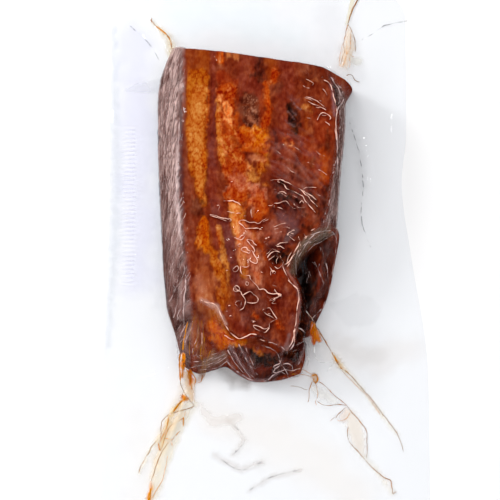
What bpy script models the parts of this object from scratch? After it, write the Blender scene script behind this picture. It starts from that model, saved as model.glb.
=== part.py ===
"""Cured, smoked pork belly vacuum-packed in a clear film pouch, as one draped solid.

Frame: +X to the right of the pack, +Y towards the back end with the straight cut, +Z up, origin at
the middle of the pouch on the surface it lies on. Blender works in metres; the design sizes
here are millimetres, turned into metres in one place by MM.

The pouch lies flat, so its underside is one flat face. The upper film is a sheet that is
draped over the belly: up its walls, over the top, down over the folded front end, and out
over the empty margins, with raised creases that run off the block's corners.
"""
import bmesh
import bpy
from math import exp, hypot, pi, sin

MM = 0.001

# pouch
POUCH_WIDTH = 150.0
POUCH_LENGTH = 255.0
POUCH_CORNER = 11.0          # run of the drawn-in back corners
CORNER_DRAW = 0.09           # share of the width that they lose
FILM_STACK = 0.9             # both films of the margin, as one thin solid layer
MARGIN_WAVE = 0.55           # height of the gentle waves in the empty margin
SEAL_BAND = 9.0              # flat welded band at each end

# block of belly
BLOCK_HEIGHT = 40.0
FRONT_HEIGHT = 35.5          # the top face has sunk to this at the front
SINK_START_Y = -2.0          # from here forward the top face slopes down
SINK_END_Y = -40.0
END_HEIGHT = 25.5            # the lower body of the folded front end
END_SIDE = 8.0               # plan width of the lower body's rounded right side
LOBE_WALL = 4.5              # plan width of the step from the top face to the lower body
LOBE_SLOPE = 10.0            # and of the gentler step on the left, down to the shelf
SLOPE_START_X = -14.0        # the step widens from here
SLOPE_END_X = -22.0          # to here
WALL_ROUND = 1.55            # 1 is a straight slope, 2 a quarter circle
END_ROUND = 1.9
BLEND = 2.2                  # how softly one form runs into the next

# flap that hangs off the right side at the front, beside a deep crevice
FLAP_PATH = ((29.0, 12.0), (26.4, 2.0), (24.3, -9.0), (21.2, -20.0), (17.8, -31.0))
FLAP_HEIGHT = 25.0
FLAP_HALF = 7.0
FLAP_ROUND = 1.6

# outlines of the block, each a few stations that a smooth line runs through
LEFT_TOP = ((-54, -33.0), (-22, -31.8), (5, -34.4), (37, -37.2), (60, -35.8), (92, -35.8))
LEFT_BASE = ((-54, -36.5), (-34, -41.5), (-20, -45.6), (30, -48.7), (60, -50.0), (84, -49.2), (98, -42.5))
RIGHT_TOP = ((-50, 6.0), (-40, 11.6), (-24, 14.8), (-15, 13.2), (-6, 10.0), (4, 16.5), (14, 24.0),
             (28, 27.0), (50, 30.4), (70, 29.8), (84, 24.5), (92, 22.0))
RIGHT_BASE = ((-54, 15.5), (-40, 20.6), (-28, 23.5), (-18, 28.4), (4, 32.6), (40, 34.8), (60, 37.0),
              (74, 37.6), (82, 40.4), (92, 38.0))
BACK_TOP = ((-50, 90.7), (-24, 89.1), (6, 84.7), (25, 81.5), (33, 76.4), (41, 71.5))
BACK_BASE = ((-50, 96.6), (-24, 95.1), (6, 91.1), (25, 87.1), (33, 82.4), (41, 78.0))
FRONT_RIDGE = ((-46, -23.0), (-34, -22.5), (-27, -21.0), (-20, -26.5), (-15, -34.0), (-9, -36.8),
               (-2, -36.4), (4, -40.0), (9, -42.8), (20, -43.5))
END_RIGHT = ((-54, 15.5), (-44, 18.5), (-35, 17.0), (-26, 13.0), (-10, 9.0))
FRONT_BASE = ((-40, -47.0), (-31, -51.8), (-24, -50.4), (-18, -49.0), (-12, -52.8), (-5, -55.6),
              (5, -55.2), (13, -53.2), (20, -50.0))

# sides of the pouch, drawn in where the block takes up film
POUCH_LEFT = ((-127.5, -75.0), (-60, -75.0), (10, -73.2), (127.5, -73.4))
POUCH_RIGHT = ((-127.5, 75.0), (-70, 75.0), (-40, 74.2), (5, 67.5), (35, 64.0), (60, 66.4), (127.5, 66.8))

# raised creases: plan route, height at the block, half width at the block and at the end
CREASES = (
    (((-38.0, 93.0), (-44.0, 106.0), (-53.7, 118.5)), 8.0, 6.0, 2.5),
    (((36.0, 87.0), (40.0, 108.0), (44.0, 126.0)), 10.0, 6.0, 3.0),
    (((-35.5, -34.0), (-38.0, -50.0), (-41.0, -65.0), (-49.0, -82.0), (-58.0, -98.0)), 16.0, 7.0, 4.0),
    (((-36.0, -60.0), (-43.0, -80.0), (-53.0, -109.0)), 4.0, 5.5, 3.0),
    (((18.0, -30.0), (26.0, -46.0), (44.0, -68.0), (64.0, -92.0)), 8.0, 9.0, 4.5),
    (((10.0, -48.0), (24.0, -64.0), (37.0, -82.0), (58.0, -106.0)), 5.0, 8.5, 4.5),
)
CREASE_FALL = 1.7            # how fast a crease loses height along its run

# cells of the draped sheet in each zone, from left to right and from front to back
COLUMNS = {"left margin": 9, "left wall": 6, "top": 17, "right wall": 9, "right margin": 15}
ROWS = {"front margin": 21, "front end": 8, "ridge": 3, "top": 21, "back wall": 5, "back margin": 9}
MARGIN_CROWDING = 1.35       # above 1, the margins' lines crowd towards the block
ROUGH_STOPS = (-75.0, -46.0, -36.0, 22.0, 34.0, 75.0)   # first guess of the column zones' ends

PACK_COLOUR = (0.20, 0.055, 0.022, 1.0)
PACK_ROUGHNESS = 0.16


def along(stations, t):
    """Value at t of the smooth line through (t, value) stations, held level past both ends."""
    if t <= stations[0][0]:
        return stations[0][1]
    if t >= stations[-1][0]:
        return stations[-1][1]
    last = len(stations) - 1
    i = next(k for k in range(last) if t < stations[k + 1][0])
    (t0, v0), (t1, v1) = stations[i], stations[i + 1]
    before, after = stations[max(i - 1, 0)], stations[min(i + 2, last)]
    slope0 = (v1 - before[1]) / (t1 - before[0])
    slope1 = (after[1] - v0) / (after[0] - t0)
    run = t1 - t0
    u = (t - t0) / run
    return (v0 * (2 * u ** 3 - 3 * u ** 2 + 1) + slope0 * run * (u ** 3 - 2 * u ** 2 + u)
            + v1 * (3 * u ** 2 - 2 * u ** 3) + slope1 * run * (u ** 3 - u ** 2))


def clamp01(value):
    return min(1.0, max(0.0, value))


def smoothstep(value):
    u = clamp01(value)
    return u * u * (3 - 2 * u)


def wall(part_way, roundness):
    """Height share of a wall, from 0 at its foot to 1 at its top edge."""
    return (1 - (1 - clamp01(part_way)) ** roundness) ** (1 / roundness)


def soft_max(a, b):
    """The higher of two heights, with the crossing rounded over BLEND."""
    gap = max(BLEND - abs(a - b), 0.0) / BLEND
    return max(a, b) + gap * gap * BLEND / 4


def distance_to_path(x, y, path):
    """Distance to a route of straight runs, and how far along it the nearest point is, 0 to 1."""
    best, best_along, done = 1e9, 0.0, 0.0
    total = sum(hypot(b[0] - a[0], b[1] - a[1]) for a, b in zip(path, path[1:]))
    for a, b in zip(path, path[1:]):
        length = hypot(b[0] - a[0], b[1] - a[1])
        u = clamp01(((x - a[0]) * (b[0] - a[0]) + (y - a[1]) * (b[1] - a[1])) / length ** 2)
        distance = hypot(x - a[0] - u * (b[0] - a[0]), y - a[1] - u * (b[1] - a[1]))
        if distance < best:
            best, best_along = distance, (done + u * length) / total
        done += length
    return best, best_along


def top_face(y):
    """Height of the block's top face, which sinks towards the front."""
    sunk = smoothstep((SINK_START_Y - y) / (SINK_START_Y - SINK_END_Y))
    return BLOCK_HEIGHT + (FRONT_HEIGHT - BLOCK_HEIGHT) * sunk


def lobe_run(x):
    """Plan width of the step below the front ridge, which is steep on the right only."""
    to_left = smoothstep((SLOPE_START_X - x) / (SLOPE_START_X - SLOPE_END_X))
    return LOBE_WALL + (LOBE_SLOPE - LOBE_WALL) * to_left


def block(x, y):
    """Height of the belly at a place in the plan, without the pouch's margins."""
    left = wall((x - along(LEFT_BASE, y)) / (along(LEFT_TOP, y) - along(LEFT_BASE, y)), WALL_ROUND)
    right_edge, right_foot = along(RIGHT_TOP, y), along(RIGHT_BASE, y)
    beside_crevice = smoothstep((14 - y) / 14)
    step = (right_foot - right_edge) * (1 - beside_crevice) + LOBE_WALL * beside_crevice
    right = wall((right_edge + step - x) / step, WALL_ROUND)
    back_foot = along(BACK_BASE, x)
    back = wall((back_foot - y) / (back_foot - along(BACK_TOP, x)), WALL_ROUND)
    ridge = along(FRONT_RIDGE, x)
    lobe_front = wall((y - ridge + lobe_run(x)) / lobe_run(x), WALL_ROUND)
    slab = top_face(y) * min(left, right, back, lobe_front)

    front_foot = along(FRONT_BASE, x)
    front = wall((y - front_foot) / (0.75 * (ridge - front_foot)), END_ROUND)
    end_right = wall((along(END_RIGHT, y) - x) / END_SIDE, END_ROUND)
    end = END_HEIGHT * min(left, front, end_right, back)

    aside, part_way = distance_to_path(x, y, FLAP_PATH)
    flap = FLAP_HEIGHT * wall(1 - aside / FLAP_HALF, FLAP_ROUND) * (1 - 0.35 * part_way)
    return soft_max(soft_max(slab, end), flap)


def crease(x, y):
    """Height of the raised creases over the margin."""
    height = 0.0
    for path, rise, wide_start, wide_end in CREASES:
        aside, part_way = distance_to_path(x, y, path)
        half = wide_start + (wide_end - wide_start) * part_way
        tent = rise * (1 - part_way) ** CREASE_FALL + 0.8
        height = max(height, tent * (1 - smoothstep(aside / half)))
    return height


def margin(x, y):
    """Height of the film margin itself: thin, softly waved, and flat in the two end seals."""
    to_seal = min(POUCH_LENGTH / 2 - abs(y) - SEAL_BAND, 20.0) / 20.0
    waves = 0.5 + 0.25 * sin(2 * pi * (x + 0.6 * y) / 47) + 0.25 * sin(2 * pi * (y - 0.4 * x) / 31)
    return FILM_STACK + MARGIN_WAVE * smoothstep(to_seal) * waves


def drape(x, y):
    """Height of the upper film at a place in the plan."""
    belly, fold = block(x, y), crease(x, y)
    return margin(x, y) + soft_max(belly, fold) * (1 - exp(-max(belly, fold)))


def zone_lines(zones):
    """Grid line places over named zones: zone number plus the share of the way across it."""
    return [number + cell / cells for number, cells in enumerate(zones.values())
            for cell in range(cells)] + [float(len(zones))]


def place(line, stops):
    """Turn a grid line place into millimetres between the zones' stops."""
    last = len(stops) - 2
    zone = min(int(line), last)
    share = line - zone
    if zone == 0:
        share = 1 - (1 - share) ** MARGIN_CROWDING
    elif zone == last:
        share = share ** MARGIN_CROWDING
    return stops[zone] + (stops[zone + 1] - stops[zone]) * share


def plan_point(column, row):
    """Plan position of a grid vertex: grid lines follow the block's outlines and the pouch's edge.

    The outlines across depend on the place along and the other way round, so the two are
    worked out in turn until they agree.
    """
    x = place(column, ROUGH_STOPS)
    for _ in range(4):
        y = place(row, (-POUCH_LENGTH / 2, along(FRONT_BASE, x) - 1.5, along(FRONT_RIDGE, x) - lobe_run(x),
                        along(FRONT_RIDGE, x) + 1.0, along(BACK_TOP, x), along(BACK_BASE, x) + 1.0,
                        POUCH_LENGTH / 2))
        x = place(column, (along(POUCH_LEFT, y), along(LEFT_BASE, y) - 1.0, along(LEFT_TOP, y),
                           along(RIGHT_TOP, y), along(RIGHT_BASE, y) + 1.0, along(POUCH_RIGHT, y)))
    corner = max(0.0, y - (POUCH_LENGTH / 2 - POUCH_CORNER)) / POUCH_CORNER
    limit = POUCH_WIDTH / 2
    return min(limit, max(-limit, x)) * (1 - CORNER_DRAW * corner ** 2), y


def draped_sheet():
    """Mesh of the pack: the draped sheet, its thin rim, and the flat underside."""
    columns, rows = zone_lines(COLUMNS), zone_lines(ROWS)
    mesh = bmesh.new()
    made = bmesh.ops.create_grid(mesh, x_segments=len(columns) - 1, y_segments=len(rows) - 1, size=1.0)
    vertices = sorted(made["verts"], key=lambda v: (round(v.co.y, 5), round(v.co.x, 5)))
    for number, vertex in enumerate(vertices):
        row, column = divmod(number, len(columns))
        x, y = plan_point(columns[column], rows[row])
        vertex.co = (x * MM, y * MM, drape(x, y) * MM)
    rim = [edge for edge in mesh.edges if edge.is_boundary]
    lowered = bmesh.ops.extrude_edge_only(mesh, edges=rim)["geom"]
    for item in lowered:
        if isinstance(item, bmesh.types.BMVert):
            item.co.z = 0.0
    bmesh.ops.holes_fill(mesh, edges=[edge for edge in mesh.edges if edge.is_boundary], sides=0)
    bmesh.ops.recalc_face_normals(mesh, faces=mesh.faces)
    return mesh


def pack_material():
    """Dark glossy brown of smoked belly under clear film."""
    material = bpy.data.materials.new("belly_under_film")
    material.use_nodes = True
    shader = material.node_tree.nodes["Principled BSDF"]
    shader.inputs["Base Color"].default_value = PACK_COLOUR
    shader.inputs["Roughness"].default_value = PACK_ROUGHNESS
    shader.inputs["Metallic"].default_value = 0.0
    material.diffuse_color = PACK_COLOUR
    return material


def build():
    for item in list(bpy.data.objects):
        bpy.data.objects.remove(item, do_unlink=True)
    collection = bpy.data.collections.new("vacuum_packed_pork_belly")
    bpy.context.scene.collection.children.link(collection)
    data = bpy.data.meshes.new("vacuum_pack")
    mesh = draped_sheet()
    mesh.to_mesh(data)
    mesh.free()
    data.materials.append(pack_material())
    data.shade_smooth()
    data.set_sharp_from_angle(angle=pi / 4)
    collection.objects.link(bpy.data.objects.new("vacuum_pack", data))


build()
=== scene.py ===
import math

import bmesh
import bpy
import numpy as np
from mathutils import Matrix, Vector
from mathutils.bvhtree import BVHTree


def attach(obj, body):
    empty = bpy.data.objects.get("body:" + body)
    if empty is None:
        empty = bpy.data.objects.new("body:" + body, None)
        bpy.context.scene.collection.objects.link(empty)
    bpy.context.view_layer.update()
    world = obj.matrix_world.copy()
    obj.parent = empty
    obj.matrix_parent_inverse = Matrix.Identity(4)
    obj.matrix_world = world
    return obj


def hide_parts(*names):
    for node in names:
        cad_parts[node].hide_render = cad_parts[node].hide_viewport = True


# Smoked pork belly shrunk into a clear pouch. Lengths are millimetres until a mesh is made.
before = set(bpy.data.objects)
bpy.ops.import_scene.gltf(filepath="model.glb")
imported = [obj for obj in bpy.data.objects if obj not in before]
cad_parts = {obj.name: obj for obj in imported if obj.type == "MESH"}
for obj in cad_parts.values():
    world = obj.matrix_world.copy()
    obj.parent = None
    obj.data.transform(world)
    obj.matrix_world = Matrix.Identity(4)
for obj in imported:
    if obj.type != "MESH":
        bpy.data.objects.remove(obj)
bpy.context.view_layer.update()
mm = 0.001


# ---- small tools for lines, noise and colour

def along(stations, t):  # smooth line through (t, value) stations
    t0 = np.array([s[0] for s in stations], float)
    v = np.array([s[1] for s in stations], float)
    back, ahead = np.maximum(np.arange(len(t0)) - 1, 0), np.minimum(np.arange(len(t0)) + 1, len(t0) - 1)
    slope = (v[ahead] - v[back]) / (t0[ahead] - t0[back])
    t = np.clip(t, t0[0], t0[-1])
    i = np.clip(np.searchsorted(t0, t, side="right") - 1, 0, len(t0) - 2)
    run = t0[i + 1] - t0[i]
    u = (t - t0[i]) / run
    return (v[i] * (2 * u ** 3 - 3 * u ** 2 + 1) + slope[i] * run * (u ** 3 - 2 * u ** 2 + u)
            + v[i + 1] * (3 * u ** 2 - 2 * u ** 3) + slope[i + 1] * run * (u ** 3 - u ** 2))


def smooth(value):
    u = np.clip(value, 0, 1)
    return u * u * (3 - 2 * u)


def softMax(a, b, blend=2.2):
    gap = np.maximum(blend - np.abs(a - b), 0) / blend
    return np.maximum(a, b) + gap * gap * blend / 4


def lattice(x, y, seed):  # random field of about -1 to 1 with one bump a unit
    x, y = np.asarray(x, float), np.asarray(y, float)
    xi, yi = np.floor(x).astype(np.int64), np.floor(y).astype(np.int64)
    fx, fy = x - xi, y - yi

    def corner(i, j):
        n = ((xi + i) * 374761393 + (yi + j) * 668265263 + seed * 69069) & 0xFFFFFFFF
        n = ((n ^ (n >> 13)) * 1274126177) & 0xFFFFFFFF
        angle = (n ^ (n >> 16)) * (2 * math.pi / 2 ** 32)
        return np.cos(angle) * (fx - i) + np.sin(angle) * (fy - j)

    ux = fx ** 3 * (fx * (fx * 6 - 15) + 10)
    uy = fy ** 3 * (fy * (fy * 6 - 15) + 10)
    low = corner(0, 0) * (1 - ux) + corner(1, 0) * ux
    high = corner(0, 1) * (1 - ux) + corner(1, 1) * ux
    return 1.5 * (low * (1 - uy) + high * uy)


def fractal(x, y, size, seed, octaves=3):  # size is the largest bump in mm
    total = 0
    for k in range(octaves):
        total = total + lattice(x / size * 2 ** k, y / size * 2 ** k, seed + k) * 0.5 ** k
    return total


def ridged(x, y, seed):  # sharp crests, 0 to 1
    return np.clip(1 - 2.2 * np.abs(lattice(x, y, seed)), 0, 1)


def turned(x, y, degrees):  # coordinates along and across a direction in the plan
    c, s = math.cos(math.radians(degrees)), math.sin(math.radians(degrees))
    return x * c + y * s, y * c - x * s


def nearest(x, y, path):  # distance to a route of straight runs, share along it, and its width there
    best, share, width = np.full(np.shape(x), 1e9), np.zeros(np.shape(x)), np.zeros(np.shape(x))
    lengths = [math.hypot(b[0] - a[0], b[1] - a[1]) for a, b in zip(path, path[1:])]
    done = 0.0
    for a, b, length in zip(path, path[1:], lengths):
        u = np.clip(((x - a[0]) * (b[0] - a[0]) + (y - a[1]) * (b[1] - a[1])) / length ** 2, 0, 1)
        d = np.hypot(x - a[0] - u * (b[0] - a[0]), y - a[1] - u * (b[1] - a[1]))
        closer = d < best
        best = np.where(closer, d, best)
        share = np.where(closer, (done + u * length) / sum(lengths), share)
        if len(a) > 2:
            width = np.where(closer, a[2] + u * (b[2] - a[2]), width)
        done += length
    return best, share, width


def linear(colour):  # 0 to 255 as seen on a screen, to the shader's linear values
    c = np.array(colour, float) / 255
    return np.where(c <= 0.04045, c / 12.92, ((c + 0.055) / 1.055) ** 2.4)


def towards(colour, tone, share):  # a colour moved towards a tone by a share
    return colour + (tone - colour) * share[..., None]


# ---- the form of the belly: heights, and outlines as (place along, offset), close to the CAD solid's

form = {
    "height": 40.0, "frontHeight": 35.5, "sinkFrom": -2.0, "sinkTo": -40.0,
    "endHeight": 25.5, "endSide": 8.0, "lobeWall": 4.5, "lobeSlope": 10.0, "slopeFrom": -14.0,
    "slopeTo": -22.0, "wallRound": 1.55, "endRound": 1.9,
    "flapPath": ((28.2, 11.0), (26.4, 2.0), (24.3, -9.0), (21.2, -20.0), (17.8, -31.0)),
    "flapHeight": 25.0, "flapHalf": 6.5, "flapRound": 1.6,
    "leftTop": ((-54, -33.0), (-22, -31.8), (5, -34.4), (37, -37.2), (60, -35.8), (92, -35.8)),
    "leftBase": ((-54, -36.5), (-34, -41.5), (-20, -45.6), (30, -48.7), (60, -50.0), (84, -49.2),
                 (98, -42.5)),
    "rightTop": ((-50, 6.0), (-40, 11.6), (-24, 14.8), (-15, 13.2), (-6, 10.0), (4, 16.5), (14, 24.0),
                 (28, 27.0), (50, 30.4), (70, 29.8), (84, 24.5), (92, 22.0)),
    "rightBase": ((-54, 15.5), (-40, 20.6), (-28, 23.5), (-18, 28.0), (4, 32.0), (40, 34.8),
                  (60, 37.0), (74, 37.8), (82, 41.4), (92, 38.0)),
    "backTop": ((-50, 90.7), (-24, 89.1), (6, 84.7), (25, 81.5), (33, 76.4), (41, 71.5)),
    "backBase": ((-50, 96.6), (-24, 95.1), (6, 91.1), (25, 87.6), (33, 84.8), (41, 81.6)),
    "frontRidge": ((-46, -23.0), (-34, -22.5), (-27, -21.0), (-20, -26.5), (-15, -34.0), (-9, -36.8),
                   (-2, -36.4), (4, -40.0), (9, -42.8), (20, -43.5)),
    "endRight": ((-54, 15.5), (-44, 18.5), (-35, 17.0), (-26, 13.0), (-10, 9.0)),
    "frontBase": ((-40, -47.0), (-31, -51.8), (-24, -50.4), (-18, -49.0), (-12, -52.8), (-5, -55.6),
                  (5, -55.2), (13, -53.2), (20, -50.0)),
}


def wallShare(partWay, roundness):  # 0 at the foot, 1 at the top edge, and below 0 outside the foot
    inside = (1 - (1 - np.clip(partWay, 0, 1)) ** roundness) ** (1 / roundness)
    return np.where(partWay < 0, 3 * partWay, inside)


def topFace(y):
    sunk = smooth((form["sinkFrom"] - y) / (form["sinkFrom"] - form["sinkTo"]))
    return form["height"] + (form["frontHeight"] - form["height"]) * sunk


def lobeRun(x):  # the lobe falls steeply to the right and slopes down to the shelf on the left
    f = form
    left = smooth((f["slopeFrom"] - x) / (f["slopeFrom"] - f["slopeTo"]))
    return f["lobeWall"] + (f["lobeSlope"] - f["lobeWall"]) * left


def blockHeight(x, y):
    f = form
    leftFoot, rightFoot = along(f["leftBase"], y), along(f["rightBase"], y)
    left = wallShare((x - leftFoot) / (along(f["leftTop"], y) - leftFoot), f["wallRound"])
    rightEdge = along(f["rightTop"], y)
    byCrevice = smooth((14 - y) / 14)
    step = (rightFoot - rightEdge) * (1 - byCrevice) + f["lobeWall"] * byCrevice
    right = wallShare((rightEdge + step - x) / step, f["wallRound"])
    backFoot = along(f["backBase"], x)
    back = wallShare((backFoot - y) / (backFoot - along(f["backTop"], x)), f["wallRound"])
    ridge = along(f["frontRidge"], x)
    lobeFront = wallShare((y - ridge + lobeRun(x)) / lobeRun(x), f["wallRound"])
    slab = topFace(y) * np.minimum(np.minimum(left, right), np.minimum(back, lobeFront))
    frontFoot = along(f["frontBase"], x)
    front = wallShare((y - frontFoot) / (0.75 * (ridge - frontFoot)), f["endRound"])
    endRight = wallShare((along(f["endRight"], y) - x) / f["endSide"], f["endRound"])
    end = f["endHeight"] * np.minimum(np.minimum(left, front), np.minimum(endRight, back))
    aside, share, _ = nearest(x, y, f["flapPath"])
    half = f["flapHalf"] * (1 - 0.30 * smooth((share - 0.6) / 0.4))
    flap = f["flapHeight"] * wallShare(1 - aside / half, f["flapRound"]) * (1 - 0.35 * share)
    return softMax(softMax(slab, end), flap)


def gridLines(counts, bends, first=0):  # zone number plus share of the way across it
    lines = [first + zone + bend(np.arange(count) / count)
             for zone, (count, bend) in enumerate(zip(counts, bends))]
    return np.concatenate(lines + [[float(first + len(counts))]])


def place(lines, stops):
    zone = np.clip(np.floor(lines).astype(int), 0, len(stops) - 2)
    low = np.choose(zone, [np.broadcast_to(s, lines.shape) for s in stops[:-1]])
    high = np.choose(zone, [np.broadcast_to(s, lines.shape) for s in stops[1:]])
    return low + (high - low) * (lines - zone)


def plan(columns, rows, stops, middle):  # lays a grid out between curved stops, from a straight start
    c, r = np.meshgrid(columns, rows)
    x = place(c, middle)
    for _ in range(4):
        y = place(r, stops(x, 0)[1])
        x = place(c, stops(x, y)[0])
    return c, r, x, y


def even(share):
    return share


def toFoot(share):  # crowds a wall's lines at its foot, where it is steep
    return share ** 1.7


def fromFoot(share):
    return 1 - (1 - share) ** 1.7


def toBlock(share):  # crowds a margin's lines towards the block
    return 1 - (1 - share) ** 1.25


def fromBlock(share):
    return share ** 1.25


def gridMesh(name, x, y, z, keep=None):  # a sheet of quads; keep leaves some of them out
    rows, columns = x.shape
    index = np.arange(rows * columns).reshape(rows, columns)
    quads = np.stack([index[:-1, :-1], index[:-1, 1:], index[1:, 1:], index[1:, :-1]], -1).reshape(-1, 4)
    if keep is not None:
        quads = quads[keep.ravel()]
    used, quads = np.unique(quads, return_inverse=True)
    spots = np.stack([x, y, z], -1).reshape(-1, 3)[used] * mm
    mesh = bpy.data.meshes.new(name)
    mesh.from_pydata(spots.tolist(), [], quads.reshape(-1, 4).tolist())
    return mesh, used


def newPiece(name, mesh, material):
    piece = bpy.data.objects.new(name, mesh)
    bpy.context.scene.collection.objects.link(piece)
    mesh.materials.append(material)
    mesh.shade_smooth()
    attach(piece, "root")
    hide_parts("vacuum_pack")
    return piece


def setField(mesh, name, values):
    field = mesh.attributes.new(name, "FLOAT", "POINT")
    field.data.foreach_set("value", np.asarray(values, np.float32).ravel())


def setColour(mesh, name, values):
    field = mesh.attributes.new(name, "FLOAT_COLOR", "POINT")
    rgba = np.concatenate([values.reshape(-1, 3), np.ones((values.size // 3, 1))], 1)
    field.data.foreach_set("color", rgba.astype(np.float32).ravel())


def points(mesh):
    flat = np.empty(len(mesh.vertices) * 3, np.float32)
    mesh.vertices.foreach_get("co", flat)
    return flat.reshape(-1, 3).astype(float) / mm


def newMaterial(name):
    material = bpy.data.materials.new(name)
    material.use_nodes = True
    material.node_tree.nodes.clear()
    return material.node_tree, material


def addNode(tree, kind, sockets={}, **settings):  # a shader node with its socket values and its settings
    node = tree.nodes.new("ShaderNode" + kind)
    for name, value in settings.items():
        setattr(node, name, value)
    for name, value in sockets.items():
        node.inputs[name].default_value = value
    return node


def carried(tree, name):  # a value that a mesh carries at its points
    return addNode(tree, "Attribute", attribute_name=name)


def ranged(tree, *limits):  # maps one range of values onto another
    return addNode(tree, "MapRange", dict(zip(("From Min", "From Max", "To Min", "To Max"), limits)))


def fillRamp(ramp, marks):  # marks of (place, colour), the first at 0 and the last at 1
    elements = ramp.color_ramp.elements
    elements[0].color, elements[-1].color = marks[0][1], marks[-1][1]
    for spot, colour in marks[1:-1]:
        elements.new(spot).color = colour


def wire(tree, *links):  # joins nodes; each link is (node, output, node, input)
    for start, output, end, entry in links:
        tree.links.new(start.outputs[output], end.inputs[entry])


print("form and tools ready")

# ---- creases of the film over the belly, drawn as painted highlights with painted shade beside them: half width and route; the film gives their height

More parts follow.
